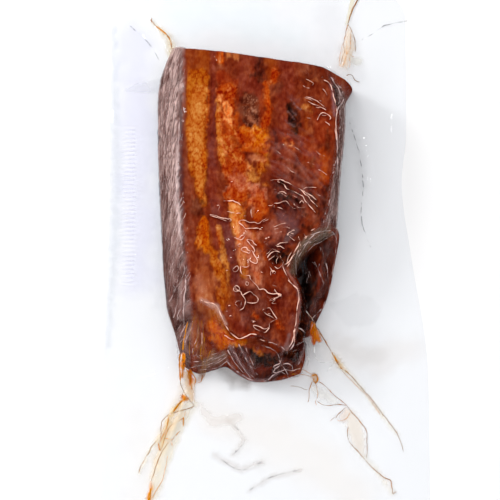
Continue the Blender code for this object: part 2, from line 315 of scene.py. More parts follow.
pleats = (
    (0.17, ((-24.5, 16), (-22, 15.6), (-19.5, 14.6), (-17.5, 14.2), (-15.5, 14), (-15, 13.4))),
    (0.15, ((-24.5, 15.6), (-21.5, 14.8), (-19, 13.8), (-16.5, 13), (-15, 13.4))),
    (0.20, ((-18.5, 22), (-16.5, 22), (-14.5, 22), (-13, 21.5), (-12, 21), (-11, 20))),
    (0.17, ((9, 7), (10.5, 8.5), (12, 9.5))),
    (0.15, ((10, 6.5), (11, 5.5), (12.5, 4.5))),
    (0.15, ((10.5, 8), (12, 7.5))),
    (0.14, ((5.5, 26), (7.5, 26), (9, 25))),
    (0.13, ((2, 31), (4, 31.5), (5.5, 31.5))),
    (0.12, ((-6.5, 18.5), (-6.5, 16), (-6, 14.5))),
    (0.19, ((-12, 12.5), (-11, 13.5), (-9.5, 13.5), (-8.5, 13), (-7, 12.5), (-5, 12.5), (-3.5, 12),
            (-2.5, 12.5), (-1.5, 13.5), (-0.5, 14), (0.5, 14.5), (1, 14), (0, 13.5), (-1.5, 12.7))),
    (0.17, ((-12, 12.5), (-10.5, 11.5), (-9, 10), (-7, 10), (-4, 10), (-2, 9.5))),
    (0.17, ((-14, 6), (-12, 5.5), (-11, 6.5), (-10, 7), (-9, 7), (-9.5, 6), (-10.5, 5), (-12, 5),
            (-13, 5.5))),
    (0.15, ((-12.5, 2.5), (-11.5, 3.1), (-10.6, 2.5), (-11.5, 1.9), (-12.4, 2.4))),
    (0.18, ((-11, 0.5), (-10, 1.5), (-8.5, 1.5), (-8, 0.5), (-7, 0), (-7.5, -1), (-8.5, -0.5), (-10, 0),
            (-11, 0.4))),
    (0.16, ((-8.5, 5), (-7, 5), (-6, 4.5), (-5, 3), (-4, 2.5))),
    (0.19, ((-8.5, 4.8), (-7, 3), (-5.5, 1.5), (-5, 0), (-5.5, -0.5), (-6.5, 0.5))),
    (0.18, ((-6, 0), (-5, -2), (-4, -3.5), (-4, -5), (-4.5, -5.5), (-6.5, -4.5), (-7, -3.5), (-6.5, -2.5))),
    (0.20, ((-7, -3.5), (-8, -4), (-7.5, -5), (-7.5, -6.3), (-8.5, -7), (-9.5, -7), (-11, -6.5),
            (-11.2, -8), (-11, -9), (-10, -10.3), (-8.5, -10.6), (-7.2, -10.8), (-7, -12), (-5.5, -13.5),
            (-4, -15), (-3, -16.5), (-1, -16.5), (1, -18), (3, -18.5), (5, -18.5), (6.5, -19), (4.5, -20),
            (3, -21))),
    (0.15, ((-14.5, -8), (-13.5, -7), (-12.5, -6.5), (-12, -7.5), (-12.5, -8.5), (-14, -9), (-14.5, -8))),
    (0.17, ((-14, -15.5), (-13, -15), (-12, -15.5), (-11.5, -16.5), (-12.5, -17.5), (-14, -17),
            (-14, -15.6))),
    (0.14, ((-9, -13.5), (-8, -13.3), (-7.5, -14), (-8, -15), (-8.7, -14.8), (-9, -13.7))),
    (0.19, ((-10, -19), (-8.5, -18), (-7, -17.5), (-5, -19), (-3.5, -20.5), (-4, -22), (-6, -22.5),
            (-8.5, -22))),
    (0.18, ((-12.5, -17), (-11, -17.5), (-10, -19.5), (-9, -21.5), (-10, -24.5), (-11.5, -25.5))),
    (0.13, ((-13.5, -22.5), (-12.5, -21.5), (-11, -21.5), (-11, -23.5), (-12, -24), (-13.5, -22.7))),
    (0.18, ((-1.5, -25.5), (-1, -25), (1.5, -24.5), (2.5, -26), (4.5, -29), (4, -29.5), (2.5, -28.5),
            (0, -27), (-1.5, -25.7))),
    (0.18, ((4, -29.5), (1.5, -31), (1.5, -32.5), (-0.5, -33.5), (-3, -32.5), (-5.5, -32), (-4.5, -33.5),
            (-2, -34.5), (-0.5, -35), (1.5, -33))),
    (0.26, ((-6.5, -30), (-5.5, -30), (-4.5, -30.4))),
    (0.14, ((3.5, -16.5), (5, -18.5), (6, -19), (4.5, -20), (2.5, -20.5), (1.5, -21.5), (4, -21),
            (2.5, -22.5), (4.5, -22.7))),
    (0.24, ((-28.5, -21), (-26, -22), (-23.5, -22.5), (-21.5, -23.5), (-20.5, -25.5), (-19.5, -27.5),
            (-18.8, -29), (-17.5, -32), (-16, -34.5), (-13.5, -36.5), (-11, -37.5), (-8.5, -36.7),
            (-6.5, -35.7), (-4, -36))),
    (0.16, ((-18.5, -35.5), (-16.5, -36.8), (-14, -37.8))),
    (0.20, ((9.5, -12.5), (11.5, -14.5), (13.5, -16.5), (14.3, -20), (13.4, -25), (12.8, -31), (12, -35.5),
            (11.4, -39), (9.5, -42))),
    (0.20, ((5, 30.8), (5.7, 31.5), (7.5, 31), (10.5, 29.5), (13.5, 28), (15.5, 27), (17, 25),
            (18.5, 23.5), (20.5, 21.5), (22.5, 19.5))),
    (0.19, ((5, 30.6), (7.5, 29.5), (9, 27.5), (11, 26.5), (13.5, 25.5), (16, 24), (16.5, 23), (17, 22),
            (19, 20), (21.5, 17))),
    (0.16, ((16, 27), (17.5, 28), (19, 28.1), (22, 28))),
    (0.18, ((16, 27.4), (18, 25.5), (20, 24), (22, 22.5))),
    (0.17, ((3.5, 21), (5.5, 21), (8.5, 22), (10, 20.5), (11.5, 19), (13, 18.5))),
    (0.13, ((14.5, 21), (15.5, 22), (16.5, 21))),
    (0.13, ((5, 25.5), (6, 25.6), (7.5, 25.3))),
    (0.13, ((1, 20), (2.5, 20), (3, 20.5))),
    (0.18, ((17.5, 68.5), (19.5, 68), (22.5, 66.5), (25, 64.5), (27, 63))),
    (0.17, ((18.5, 66.5), (21, 65), (24, 64), (26.5, 62.5))),
    (0.16, ((22.5, 58), (24.5, 61.3), (27, 60.5), (28.5, 59), (28, 58.3))),
    (0.19, ((26, 57.5), (27.5, 56.3), (28, 55.5))),
    (0.14, ((25, 72), (26, 71), (27, 69))),
    (0.14, ((17.5, 76.5), (19.5, 75.5), (21, 74.5), (20.5, 73.5))),
    (0.20, ((25.5, 76), (27.5, 75), (29, 72.5), (29.7, 69), (30.5, 66), (31, 62.5), (30.7, 58),
            (30.5, 54.5), (31, 49))),
    (0.22, ((35.5, 71.5), (34, 67.5), (32.5, 65), (31.4, 62), (30.8, 59), (30.9, 54.5), (31.4, 47),
            (31.6, 40.5), (31.5, 33.5))),
    (0.18, ((29, 77.5), (30, 75.5), (32.5, 73), (34, 71))),
    (0.13, ((32, 68.5), (32.5, 69.5), (33, 67.5), (32, 66), (33.5, 65.5))),
    (0.16, ((0, -1.5), (1.5, 0), (2.5, 1), (4.5, 0.5))),
    (0.16, ((0.5, -3), (2, -1), (4, 0), (6, -0.5))),
    (0.16, ((1, -4), (3, -2.5), (5, -1))),
    (0.15, ((2.5, 2), (4.5, 2.5), (6.5, 3.5), (9.5, 4))),
    (0.14, ((4.5, 2), (6.5, 2), (8, 1))),
    (0.15, ((2.5, -5), (3.5, -6.5), (5, -7.5), (7, -6), (7.5, -4.5))),
    (0.12, ((5.5, -2.5), (4.5, -4), (4.5, -5.5))),
    (0.12, ((6, -2), (6.5, -3.5), (7.5, -4.5))),
    (0.13, ((2, -10.5), (2, -9), (3, -8.5), (4, -9), (3.5, -10))),
    (0.16, ((7, -6), (8, -8.5), (9.5, -11.5), (11, -14))),
)

# fainter creases of the film over the front end and the flap, drawn as fainter painted highlights: half
# width, strength and route
softFolds = (
    (0.30, 0.80, ((22, -39), (22.5, -42), (23, -44.5), (24.5, -46.5), (27.5, -47), (31, -46))),
    (0.24, 0.70, ((20, -39.5), (20, -44), (19.5, -49))),
    (0.22, 0.60, ((31, -46), (29.5, -49.5), (27.5, -51.5))),
    (0.15, 0.34, ((-14.5, -40.5), (-12.5, -45.5), (-9, -50.5), (-4.5, -54.5))),
    (0.13, 0.30, ((-12, -39.5), (-9.5, -44.5), (-7, -49), (-3.5, -53))),
    (0.12, 0.26, ((-9.5, -39), (-7.5, -44.5), (-4.5, -50.5))),
    (0.14, 0.26, ((-17, -42), (-14, -47), (-10, -52))),
    (0.17, 0.50, ((-2, -40), (2, -41.5), (5, -43.5), (6, -46))),
    (0.15, 0.40, ((-3.5, -37.5), (1, -39), (5.5, -40.5), (8, -42.5))),
    (0.17, 0.45, ((12, -34), (12, -40), (9.5, -43.5), (7.5, -46))),
    (0.14, 0.35, ((18, -35.5), (17, -41), (16, -45), (14.5, -48.5))),
    (0.14, 0.40, ((-1.5, -55), (2, -53), (4.5, -50))),
    (0.13, 0.35, ((1, -55), (5, -52), (9, -50.5))),
    (0.20, 0.50, ((-17.5, -46.5), (-15, -49.5), (-10, -53), (-6, -55), (-1.5, -55.5))),
    (0.16, 0.35, ((-1.5, -55.5), (4, -55), (9, -54), (16, -53))),
    (0.14, 0.55, ((7, -45.5), (6, -48), (3.5, -49.5), (7, -51.5), (10.5, -54))),
    (0.13, 0.45, ((-34, -49.5), (-24, -47.5), (-16.5, -44))),
    (0.12, 0.35, ((-33.5, -47), (-25.5, -46.5), (-17.5, -43.5))),
    (0.12, 0.35, ((-32, -44.5), (-24.5, -44), (-18.5, -42.5))),
    (0.12, 0.40, ((-30, -50.5), (-22.5, -49.5), (-17, -46.5))),
    (0.11, 0.30, ((-32.5, -48.5), (-27, -48.5), (-20.5, -46.5))),
    (0.16, 0.45, ((29.5, 11), (32, 8.5), (32, 2), (31, -4.5), (29.5, -13), (28, -17), (26.5, -21.5),
                  (23.5, -25), (21, -27.5))),
    (0.17, 0.50, ((7, -6.5), (10, -4.5), (13.5, 1.5), (15.5, 5), (21.5, 8), (29, 11))),
    (0.14, 0.34, ((14, -2), (17.5, 3), (21.5, 5.5), (30, 10))),
    (0.13, 0.30, ((14, -2), (16, -8), (15.5, -13.5))),
    (0.14, 0.34, ((18, 0), (19.5, -7), (19, -13))),
    (0.13, 0.30, ((22, -2), (24, -7), (26.5, -13.5))),
    (0.13, 0.28, ((26.5, -2), (28, -6.5), (28, -11))),
    (0.12, 0.26, ((20, -5.5), (20.5, -10))),
    (0.17, 0.45, ((14, -33), (18, -34.5), (17, -37.5), (13, -40.5))),
    (0.14, 0.40, ((18.5, -25.5), (21, -29.5), (20.5, -33))),
    (0.17, 0.45, ((28.5, 77.5), (30.5, 76), (33, 75), (36, 76))),
    (0.18, 0.55, ((21.5, 8), (19, 5.5), (16.5, 3), (14.5, 0), (13, -2.5), (13.5, -5.5), (14, -8))),
    (0.16, 0.45, ((22, 5), (19, 2), (17.5, -0.5), (17.5, -3.5), (18, -6.5))),
    (0.14, 0.45, ((12, 1), (10, -2), (9, -5))),
    (0.13, 0.40, ((12.5, -1), (11, -3.5), (9, -7))),
    (0.13, 0.40, ((16, 9.5), (16.5, 7.5), (17.5, 6), (16, 5))),
    (0.13, 0.35, ((14.5, 5.5), (15, 2.5), (13.5, -1), (13.5, -4))),
    (0.13, 0.35, ((21.5, 6.5), (18, 4), (16.5, 1.5), (15, -1.5), (16, -3))),
    (0.13, 0.40, ((19, -1.5), (18.5, -7))),
    (0.12, 0.40, ((19.5, 9), (21.5, 10))),
    (0.14, 0.40, ((3, 10.5), (7, 12), (10.5, 12.5))),
    (0.12, 0.28, ((3.5, 9.5), (8, 10.5), (10.5, 10))),
    (0.12, 0.28, ((4, 8), (7, 8.5))),
    (0.15, 0.75, ((5.5, -46), (6.5, -48.5), (3.5, -50.5))),
    (0.15, 0.75, ((3.5, -50.5), (9, -48), (11.5, -49), (12, -51))),
    (0.14, 0.70, ((6.5, -48.5), (8.5, -50.5), (10, -53))),
    (0.14, 0.60, ((8.5, -50.5), (12, -51), (15.5, -50))),
    (0.12, 0.60, ((2.5, -49), (4, -52), (7, -51.5))),
    (0.14, 0.45, ((-15.5, -41), (-12, -47), (-6.5, -54.5))),
    (0.12, 0.35, ((-31.5, -49), (-25, -46), (-18.5, -43))),
    (0.12, 0.35, ((-29.5, -50.5), (-23, -48), (-16.5, -44.5))),
    (0.12, 0.35, ((14.5, -39), (19, -37.5), (20, -41.5), (18, -47.5))),
    (0.12, 0.40, ((14, 6.5), (16, -0.5), (19, -6.5), (18, -14.5))),
    (0.12, 0.35, ((16.5, 4.5), (18.5, 1), (19.5, -9))),
    (0.12, 0.35, ((21, 4), (26, 7), (31.5, 10.5))),
    (0.11, 0.30, ((20, 5), (25, 8.5), (30, 10.5))),
    (0.14, 0.60, ((32, 73.5), (33, 71), (32.5, 67))),
    (0.20, 0.50, ((-38, 59.5), (-38.5, 45), (-39.5, 32), (-38.5, 16.5), (-37, 5.5), (-36, -4.5),
                  (-35, -10))),
    (0.24, 0.75, ((-35, -10), (-35, -16.5), (-35.6, -19), (-36, -25), (-36.5, -33))),
)

# bright dots of painted highlight on small bubbles under the film
bubbleGlints = ((-21, 20), (-17, -8.5), (-16, -23.5), (-15.5, -28), (0, 5.5), (-8, -14), (-5.5, -30.5),
           (-13, -16.5), (-11.5, 3), (3, -9), (-13.5, -16), (-12.5, -17), (-17.2, -26), (-9.6, 7.8),
           (9.5, 7), (10.5, 7), (12, 9), (-0.5, 4), (1, 6), (-2.5, 9.5), (-15, 30.5), (-17.5, 28))

# ---- the belly: fat, lean and smoke painted as soft strokes along the layers, with painted glints, painted shade in the crevice and hollows, and a painted sheen on the walls

hue = {
    "fatTan": (200, 124, 54), "fatAmber": (178, 92, 18), "fatBrown": (142, 58, 14),
    "orange": (174, 70, 14), "brightTan": (236, 154, 90), "brightOrange": (220, 100, 24),
    "gold": (198, 100, 10), "amber": (192, 98, 12), "burnt": (176, 70, 8), "ochre": (176, 98, 42),
    "redBrown": (116, 42, 20), "redOrange": (136, 43, 14), "redMauve": (156, 70, 46),
    "darkRed": (98, 26, 12), "maroon": (118, 42, 26), "plum": (106, 47, 40), "plumBrown": (116, 58, 48),
    "mauveBrown": (134, 68, 52), "mauveGlint": (126, 88, 86), "pinkTan": (202, 122, 90),
    "pinkBrown": (166, 86, 46), "darkBrown": (90, 38, 22), "umber": (80, 30, 24), "soot": (52, 22, 16),
    "deepMaroon": (58, 22, 18), "nearBlack": (22, 8, 6), "lobe": (94, 36, 24), "speck": (168, 106, 78),
    "rindEdge": (124, 54, 34), "brownStrand": (146, 74, 36), "webGrey": (128, 104, 86),
    # the walls' dark meat, and the pale painted sheen of the film's folds over it
    "rindLow": (62, 26, 20), "rindFoldSheen": (138, 92, 84), "sideLow": (48, 20, 15), "sideFoldSheen": (112, 76, 70),
}

# colour, strength, edge softness, route of (x, y, half width)
strokes = (
    ("maroon", 0.9, 4, ((-7, 85.5, 5.7), (-7, 71, 5.7))),
    ("redBrown", 0.6, 3, ((-7.5, 82.5, 2.6), (-7, 80, 2.6))),
    ("soot", 0.55, 3, ((-2, 84.5, 1.5), (-2.5, 77, 1.5))),
    ("fatBrown", 0.95, 2, ((-30, 89, 5.2), (-30, 82.5, 5.2), (-30, 77, 4.8))),
    ("redBrown", 0.6, 3, ((-32.5, 89, 2.2), (-32.5, 83.5, 1.7))),
    ("fatAmber", 0.95, 1.6, ((-30, 76.5, 4.8), (-30.5, 69.5, 4.8), (-30.5, 54, 4.8), (-30.5, 45, 4.6),
                             (-30, 37.5, 3.9), (-29, 31.5, 2.8), (-29, 26, 1.7), (-27.5, 21.5, 1.3))),
    ("fatTan", 0.9, 2.5, ((-28.5, 71, 3.1), (-30, 63.5, 3.9), (-31, 54.5, 3.9), (-30.5, 46.5, 3.5),
                          (-29.5, 39.5, 2.8), (-29, 32.5, 2), (-29, 27, 1.3), (-27.5, 22.5, 0.9))),
    ("fatAmber", 0.6, 2, ((-33, 74.5, 1.3), (-34, 62.5, 0.9), (-34.5, 54, 0.9))),
    ("amber", 0.7, 1.5, ((-27, 44, 1), (-26.5, 38, 1))),
    ("orange", 0.8, 1, ((-25, 71.5, 0.5), (-25.5, 62.5, 0.5), (-26, 54, 0.4))),
    ("rindEdge", 0.85, 1.2, ((-36, 85.5, 0.9), (-36, 71.5, 0.8), (-36, 54, 0.8), (-35.5, 40.5, 1.1),
                             (-35, 29, 1.7), (-34, 20.5, 2), (-33.5, 9.5, 2), (-33, 0.5, 1.7))),
    ("maroon", 0.95, 1, ((-23, 90, 1.2), (-23, 78.5, 1.1), (-23, 69.5, 1), (-23, 58, 1.4), (-24, 51, 1.8),
                         (-24, 45, 1.7), (-23.5, 40.5, 1.6), (-23.5, 33.5, 1.8), (-23.5, 27, 2.1),
                         (-23, 22.5, 2.4))),
    ("plum", 0.6, 1.5, ((-22.5, 71.5, 0.5), (-23, 56, 1), (-24, 45, 1.2), (-23.5, 38, 1))),
    ("darkRed", 0.7, 0.8, ((-24, 82.5, 0.4), (-24, 69.5, 0.3), (-24.5, 60.5, 0.4), (-25, 54, 0.4))),
    ("orange", 0.95, 1.6, ((-20.5, 86.5, 1.5), (-19.5, 85.5, 1.3))),
    ("brightTan", 0.55, 2.2, ((-16.5, 87, 1.1), (-13, 86.5, 0.8))),
    ("brightOrange", 0.8, 1, ((-19, 88, 0.7), (-19, 84.5, 0.5))),
    ("redBrown", 0.8, 1.6, ((-17, 82.5, 1.7), (-16.5, 81, 1.5))),
    ("redOrange", 0.85, 2, ((-19.5, 78, 2.6), (-17.5, 75.5, 3.5), (-15, 74.5, 2.6))),
    ("brightTan", 0.5, 0.8, ((-19.5, 74, 0.4), (-19, 73.5, 0.4))),
    ("pinkTan", 0.6, 0.8, ((-21.5, 72.5, 0.5), (-21.5, 71.5, 0.5))),
    ("orange", 0.95, 2, ((-17, 71.5, 4.1), (-17.5, 65, 4.1), (-17.5, 57.5, 4.4), (-17.5, 51.5, 3.5))),
    ("fatTan", 0.7, 1.6, ((-20.5, 67, 0.7), (-21, 60.5, 0.8), (-21, 54, 0.8))),
    ("brightTan", 0.8, 1.4, ((-20, 69, 0.7), (-20, 67, 0.7))),
    ("brightTan", 0.9, 1.4, ((-17.5, 65, 1.5), (-17, 61.5, 1.8))),
    ("brightTan", 0.8, 1.4, ((-18, 59, 1.3), (-17, 57.5, 1.1))),
    ("fatBrown", 0.7, 0.6, ((-19.5, 66, 0.2), (-19, 62.5, 0.2), (-18.5, 60.5, 0.2), (-17.5, 59, 0.2))),
    ("fatBrown", 0.6, 0.6, ((-18, 62, 0.2), (-16.5, 62.5, 0.2), (-15.5, 62, 0.2))),
    ("fatBrown", 0.5, 0.6, ((-18, 70.5, 0.3), (-17.5, 68, 0.3))),
    ("burnt", 0.7, 2, ((-13, 61, 1.1), (-12.5, 57, 1.2))),
    ("darkBrown", 0.9, 2, ((-7.5, 67, 3.7), (-7, 62, 4.1), (-6.5, 56.5, 3.1))),
    ("speck", 0.7, 0.8, ((-6.5, 66, 0.3), (-6, 63.5, 0.4))),
    ("speck", 0.7, 0.8, ((-5, 62.5, 0.5), (-4.5, 61.5, 0.4))),
    ("speck", 0.75, 0.8, ((-7, 60, 0.7), (-6, 58.5, 0.7))),
    ("speck", 0.7, 0.8, ((-5, 58, 0.5), (-4.5, 56, 0.4))),
    ("speck", 0.5, 0.8, ((-9.5, 69, 0.4), (-8.5, 69.5, 0.4))),
    ("soot", 0.6, 0.9, ((-8, 64.5, 0.6), (-8.5, 62, 0.6))),
    ("soot", 0.6, 0.8, ((-5.5, 60.5, 0.5), (-3.5, 59.5, 0.7))),
    ("soot", 0.5, 1, ((-9, 57.5, 0.7), (-7, 55.5, 0.7))),
    ("fatBrown", 0.8, 2.5, ((2.5, 84.5, 2.4), (3.5, 79, 2.6), (2.5, 75, 1.7))),
    ("orange", 0.8, 1.6, ((3.5, 79, 1), (4, 76, 0.8))),
    ("orange", 0.9, 1.8, ((0, 74.5, 1.4), (0.5, 68, 1.3), (1, 62, 1.4), (-1, 55.5, 1.7))),
    ("brightOrange", 0.6, 0.9, ((1, 71.5, 0.4), (1.5, 65, 0.4))),
    ("redOrange", 0.7, 2, ((-1.5, 71.5, 0.9), (-2, 60.5, 0.9))),
    ("soot", 0.5, 2, ((-4, 84.5, 1.1), (-3, 77, 1.1))),
    ("orange", 0.95, 3, ((-13, 53, 2.6), (-7, 49.5, 4.4), (-1.5, 46.5, 3.1))),
    ("gold", 0.95, 2.5, ((-4, 53.5, 2.6), (-1.5, 51, 2.6))),
    ("maroon", 0.85, 4, ((9, 81, 3.9), (9, 69.5, 3.9), (9, 54, 3.9))),
    ("soot", 0.85, 2.5, ((11, 65.5, 2), (12.5, 60, 2.6), (13, 55, 2))),
    ("plum", 0.7, 1.6, ((10.5, 69, 1.3), (13.5, 68, 1.1))),
    # painted glints of the film over the dark lean
    ("mauveGlint", 0.6, 1, ((11, 62.5, 0.5), (13, 61, 0.3))),
    ("mauveGlint", 0.6, 1, ((11.5, 58.5, 0.6), (13, 57.5, 0.3))),
    ("darkBrown", 0.6, 3, ((6.5, 74.5, 1.7), (4.5, 71.5, 1.3))),
    ("ochre", 0.85, 1.6, ((17, 64.5, 1.1), (19.5, 63.5, 1.1))),
    ("fatBrown", 0.65, 2, ((18, 61, 1.1), (18, 54.5, 1.1))),
    ("darkBrown", 0.4, 4, ((19.5, 78.5, 4.4), (26, 76.5, 2.6))),
    ("redOrange", 0.65, 4, ((24.5, 59, 3.5), (25, 51.5, 4.4))),
    ("redOrange", 0.7, 4, ((17, 48.5, 2.2), (20, 42.5, 3.9), (23, 37, 3.1))),
    ("darkBrown", 0.7, 2, ((20.5, 40.5, 1.3), (20.5, 38.5, 1.3))),
    ("burnt", 0.5, 2.5, ((25.5, 44, 1.7), (25.5, 31.5, 1.7))),
    ("maroon", 0.85, 3, ((5, 51.5, 3.1), (8, 45, 3.9), (6, 38, 3.9))),
    ("orange", 0.6, 1.4, ((8, 50, 0.7), (10, 46.5, 0.8), (12, 45.5, 0.4))),
    ("mauveBrown", 0.6, 3, ((9.5, 37, 2.2), (15, 33, 3.1), (17.5, 30.5, 2.2))),
    ("umber", 0.85, 4, ((3.5, 29, 2.2), (8.5, 25, 4.4), (11.5, 18, 5.2), (10.5, 11.5, 5.2))),
    ("nearBlack", 0.6, 3, ((15, 22.5, 1.3), (17.5, 16, 1.3))),
    ("darkBrown", 0.8, 3, ((20, 22.5, 2.6), (22, 14.5, 2.6))),
    ("umber", 0.7, 2, ((24.5, 27, 1.3), (24.5, 13, 1.3))),
    ("orange", 0.9, 3, ((-18, 49.5, 3.5), (-15, 42.5, 5.2), (-13, 36, 5.2), (-11.5, 29, 5.2),
                        (-13, 22.5, 4.4))),
    ("fatTan", 0.75, 1.4, ((-21, 54.5, 0.8), (-20, 48.5, 1), (-19.5, 42.5, 1.1), (-19, 38, 0.9))),
    ("brightTan", 0.6, 1, ((-19.5, 49.5, 0.5), (-18.5, 45.5, 0.6), (-17.5, 42.5, 0.5))),
    ("fatAmber", 0.85, 3, ((-3.5, 49.5, 2.2), (-1.5, 42.5, 2.6), (-2.5, 36, 2.2))),
    ("burnt", 0.7, 1.6, ((-9, 46.5, 1.3), (-4, 46.5, 1.3))),
    ("pinkTan", 0.55, 2.2, ((-6, 41.5, 1.3), (-2.5, 40.5, 1.7))),
    ("fatTan", 0.6, 1.5, ((-6, 36, 1.3), (-4.5, 31.5, 1.5))),
    ("redMauve", 0.7, 2, ((-14, 32.5, 1.7), (-9.5, 31.5, 1.7))),
    ("pinkTan", 0.6, 2, ((-7, 29, 1.7), (-3.5, 26, 2.2), (-3.5, 20.5, 1.7))),
    ("orange", 0.8, 1.8, ((-16.5, 26, 1.5), (-12, 25, 1.7))),
    ("orange", 0.85, 2.5, ((-6, 22.5, 2.2), (-2, 20.5, 3.1), (-2, 16, 2.2))),
    ("fatAmber", 0.9, 2, ((-13, 19, 2.6), (-12, 14, 2.8), (-11.5, 9.5, 2.6))),
    ("fatTan", 0.7, 2, ((-14.5, 19, 1.7), (-13, 13, 1.7), (-11.5, 6.5, 1.7), (-10, 0.5, 1.7))),
    ("plum", 0.85, 1.6, ((-22.5, 21, 2.2), (-21.5, 17.5, 2.4))),
    ("maroon", 0.9, 1.4, ((-23.5, 13, 1.5), (-22, 8.5, 1.3), (-22, 3, 1.1))),
    ("plum", 0.95, 1.6, ((-18, 12, 1.7), (-17, 6.5, 2.2), (-16, 0.5, 2.2), (-15.5, -3, 1.7))),
    ("orange", 0.75, 1, ((-20.5, 12, 0.6), (-20.5, 6.5, 0.6), (-20, 2.5, 0.5))),
    ("darkBrown", 0.75, 2.5, ((-30.5, 21, 2.6), (-29.5, 17.5, 2.6))),
    ("amber", 0.95, 1.6, ((-27, 14, 1.7), (-27, 9.5, 2.8), (-26.5, 5, 3.5), (-27, 2, 3.7))),
    ("fatTan", 0.6, 1.5, ((-29, 10, 0.9), (-29, 5, 1.1), (-29.5, 1.5, 0.9))),
    ("fatAmber", 0.85, 1.6, ((-23, -0.5, 1.7), (-22, -4.5, 2.2), (-20.5, -9, 2.2))),
    ("fatTan", 0.5, 1.4, ((-23.5, -2, 0.9), (-22, -6.5, 0.9))),
    ("fatTan", 0.8, 1.2, ((-19.5, 0.5, 0.6), (-18.5, -3, 0.7), (-17, -6.5, 0.7))),
    ("plum", 0.8, 1.4, ((-13.5, -4.5, 1), (-13, -10, 1.4), (-13, -15, 1.3))),
    ("redBrown", 0.9, 1.4, ((-30, -1, 2.2), (-28, -2, 2.4), (-28.5, -5.5, 2.2))),
    ("pinkBrown", 0.6, 4, ((-26.5, -10.5, 3.5), (-26.5, -16.5, 4.0))),
    ("pinkTan", 0.5, 3, ((-27.5, -19, 2.2), (-25, -22, 2.2))),
    ("ochre", 0.7, 2, ((-19, -11.5, 1.7), (-17, -19, 1.7))),
    ("mauveBrown", 0.7, 3, ((1.5, 10, 2.6), (4.5, 6.5, 2.6))),
    ("redBrown", 0.7, 2, ((-4.5, 6, 2.2), (-2.5, 0.5, 1.7))),
    ("nearBlack", 0.85, 2.5, ((2.5, 0.5, 1.7), (6, -2, 3.1), (8.5, -4.5, 2.2))),
    ("redOrange", 0.85, 2, ((4.5, -10.5, 1.7), (5.5, -13.5, 1.7))),
    ("gold", 0.75, 1.2, ((-4.5, -10, 1), (-3.5, -12.5, 0.9))),
    ("mauveBrown", 0.8, 2.5, ((-8.5, -14, 2.2), (-5, -15, 2.6))),
    ("umber", 0.6, 2.5, ((8, -16.5, 2.2), (8, -22, 2.2))),
    ("redOrange", 0.6, 1.6, ((-19.5, 79, 1.9), (-19, 76, 1.9))),
    ("brightTan", 0.8, 1, ((-20, 68, 0.4), (-20, 66.5, 0.4))),
    ("brightTan", 0.75, 1, ((-19, 65.5, 0.8), (-17, 62.5, 1.6), (-16.5, 59, 1.7), (-15.5, 56.5, 0.9))),
    ("fatTan", 0.8, 1, ((-21.5, 66, 0.4), (-21.5, 61.5, 0.5), (-21, 55, 0.5), (-21, 50.5, 0.6),
                        (-20, 46.5, 0.7), (-18.5, 42, 0.8), (-18.5, 38, 0.7))),
    ("fatBrown", 0.75, 0.5, ((-19.5, 66.5, 0.2), (-19.5, 64, 0.2), (-19, 61.5, 0.2), (-17.5, 59, 0.2))),
    ("fatBrown", 0.6, 0.5, ((-17, 65, 0.2), (-17.5, 62, 0.2), (-16.5, 60, 0.2), (-15, 59, 0.2))),
    ("redOrange", 0.6, 1, ((-19, 56, 0.7), (-18, 53, 0.9))),
    ("fatTan", 0.7, 0.8, ((-17, 51, 0.4), (-15, 51.5, 0.4), (-13.5, 53, 0.3), (-14.5, 55, 0.3))),
    ("fatTan", 0.65, 0.8, ((-20, 50.5, 0.5), (-17.5, 47, 0.5), (-16, 45.5, 0.4))),
    ("fatBrown", 0.7, 1.5, ((-14.5, 50.5, 0.8), (-13, 48, 1.1), (-14, 45.5, 0.7))),
    ("fatBrown", 0.6, 0.6, ((-13.5, 54.5, 0.3), (-12, 53, 0.3))),
    ("gold", 0.85, 1.8, ((-10.5, 53, 1), (-5.5, 53, 1.8), (-2, 51.5, 1.8), (-2.5, 48, 1.7),
                         (-8.5, 47, 1.4))),
    ("fatTan", 0.6, 0.8, ((-12, 55, 0.4), (-8.5, 53, 0.4), (-4.5, 54.5, 0.3))),
    ("burnt", 0.7, 1, ((-10.5, 45, 0.6), (-5.5, 45, 0.7), (-0.5, 44, 0.8))),
    ("fatTan", 0.7, 0.7, ((-17, 45, 0.4), (-14, 42, 0.5), (-12, 40, 0.5), (-11, 42, 0.3))),
    ("brightTan", 0.6, 0.7, ((-8.5, 40, 0.4), (-7.5, 37, 0.5), (-6.5, 36, 0.3))),
    ("fatBrown", 0.7, 0.7, ((-17.5, 42.5, 0.3), (-15.5, 41, 0.3), (-17, 38, 0.3))),
    ("pinkBrown", 0.7, 1.5, ((-6, 42, 0.9), (-2, 41, 1.4))),
    ("fatTan", 0.7, 0.8, ((-8, 35.5, 0.5), (-6.5, 33.5, 0.6), (-7.5, 31.5, 0.5))),
    ("fatTan", 0.65, 0.8, ((-2, 38, 0.4), (-2.5, 34.5, 0.5), (-5.5, 31.5, 0.5))),
    ("fatBrown", 0.6, 0.6, ((-5.5, 35.5, 0.3), (-3.5, 37.5, 0.3))),
    ("orange", 0.8, 1.5, ((-18.5, 37.5, 1.2), (-16, 34, 1.1))),
    ("redMauve", 0.6, 1.5, ((-13.5, 35.5, 0.8), (-10, 33, 1.1))),
    ("pinkTan", 0.65, 1.2, ((-18, 27.5, 0.6), (-14.5, 30, 0.6))),
    ("orange", 0.8, 2, ((-17, 25.5, 1.5), (-12, 27, 1.8), (-10, 23, 1.5))),
    ("pinkTan", 0.7, 1.5, ((-6, 27.5, 0.9), (-3.5, 29, 1.1), (-4.5, 25, 0.7))),
    ("ochre", 0.8, 1.2, ((-0.5, 29.5, 1), (0.5, 28.5, 0.8))),
    ("pinkTan", 0.6, 1.5, ((-0.5, 27, 0.8), (-0.5, 24, 1.1))),
    ("orange", 0.7, 2, ((-3.5, 23.5, 1.2), (-2, 18.5, 2.1), (-3, 15, 1.7))),
    ("brightTan", 0.55, 1.2, ((-6.5, 23.5, 0.5), (-7, 21, 0.5))),
    ("brightTan", 0.7, 1.2, ((-15.5, 20, 1), (-13, 18, 1.5), (-12, 15, 1.7))),
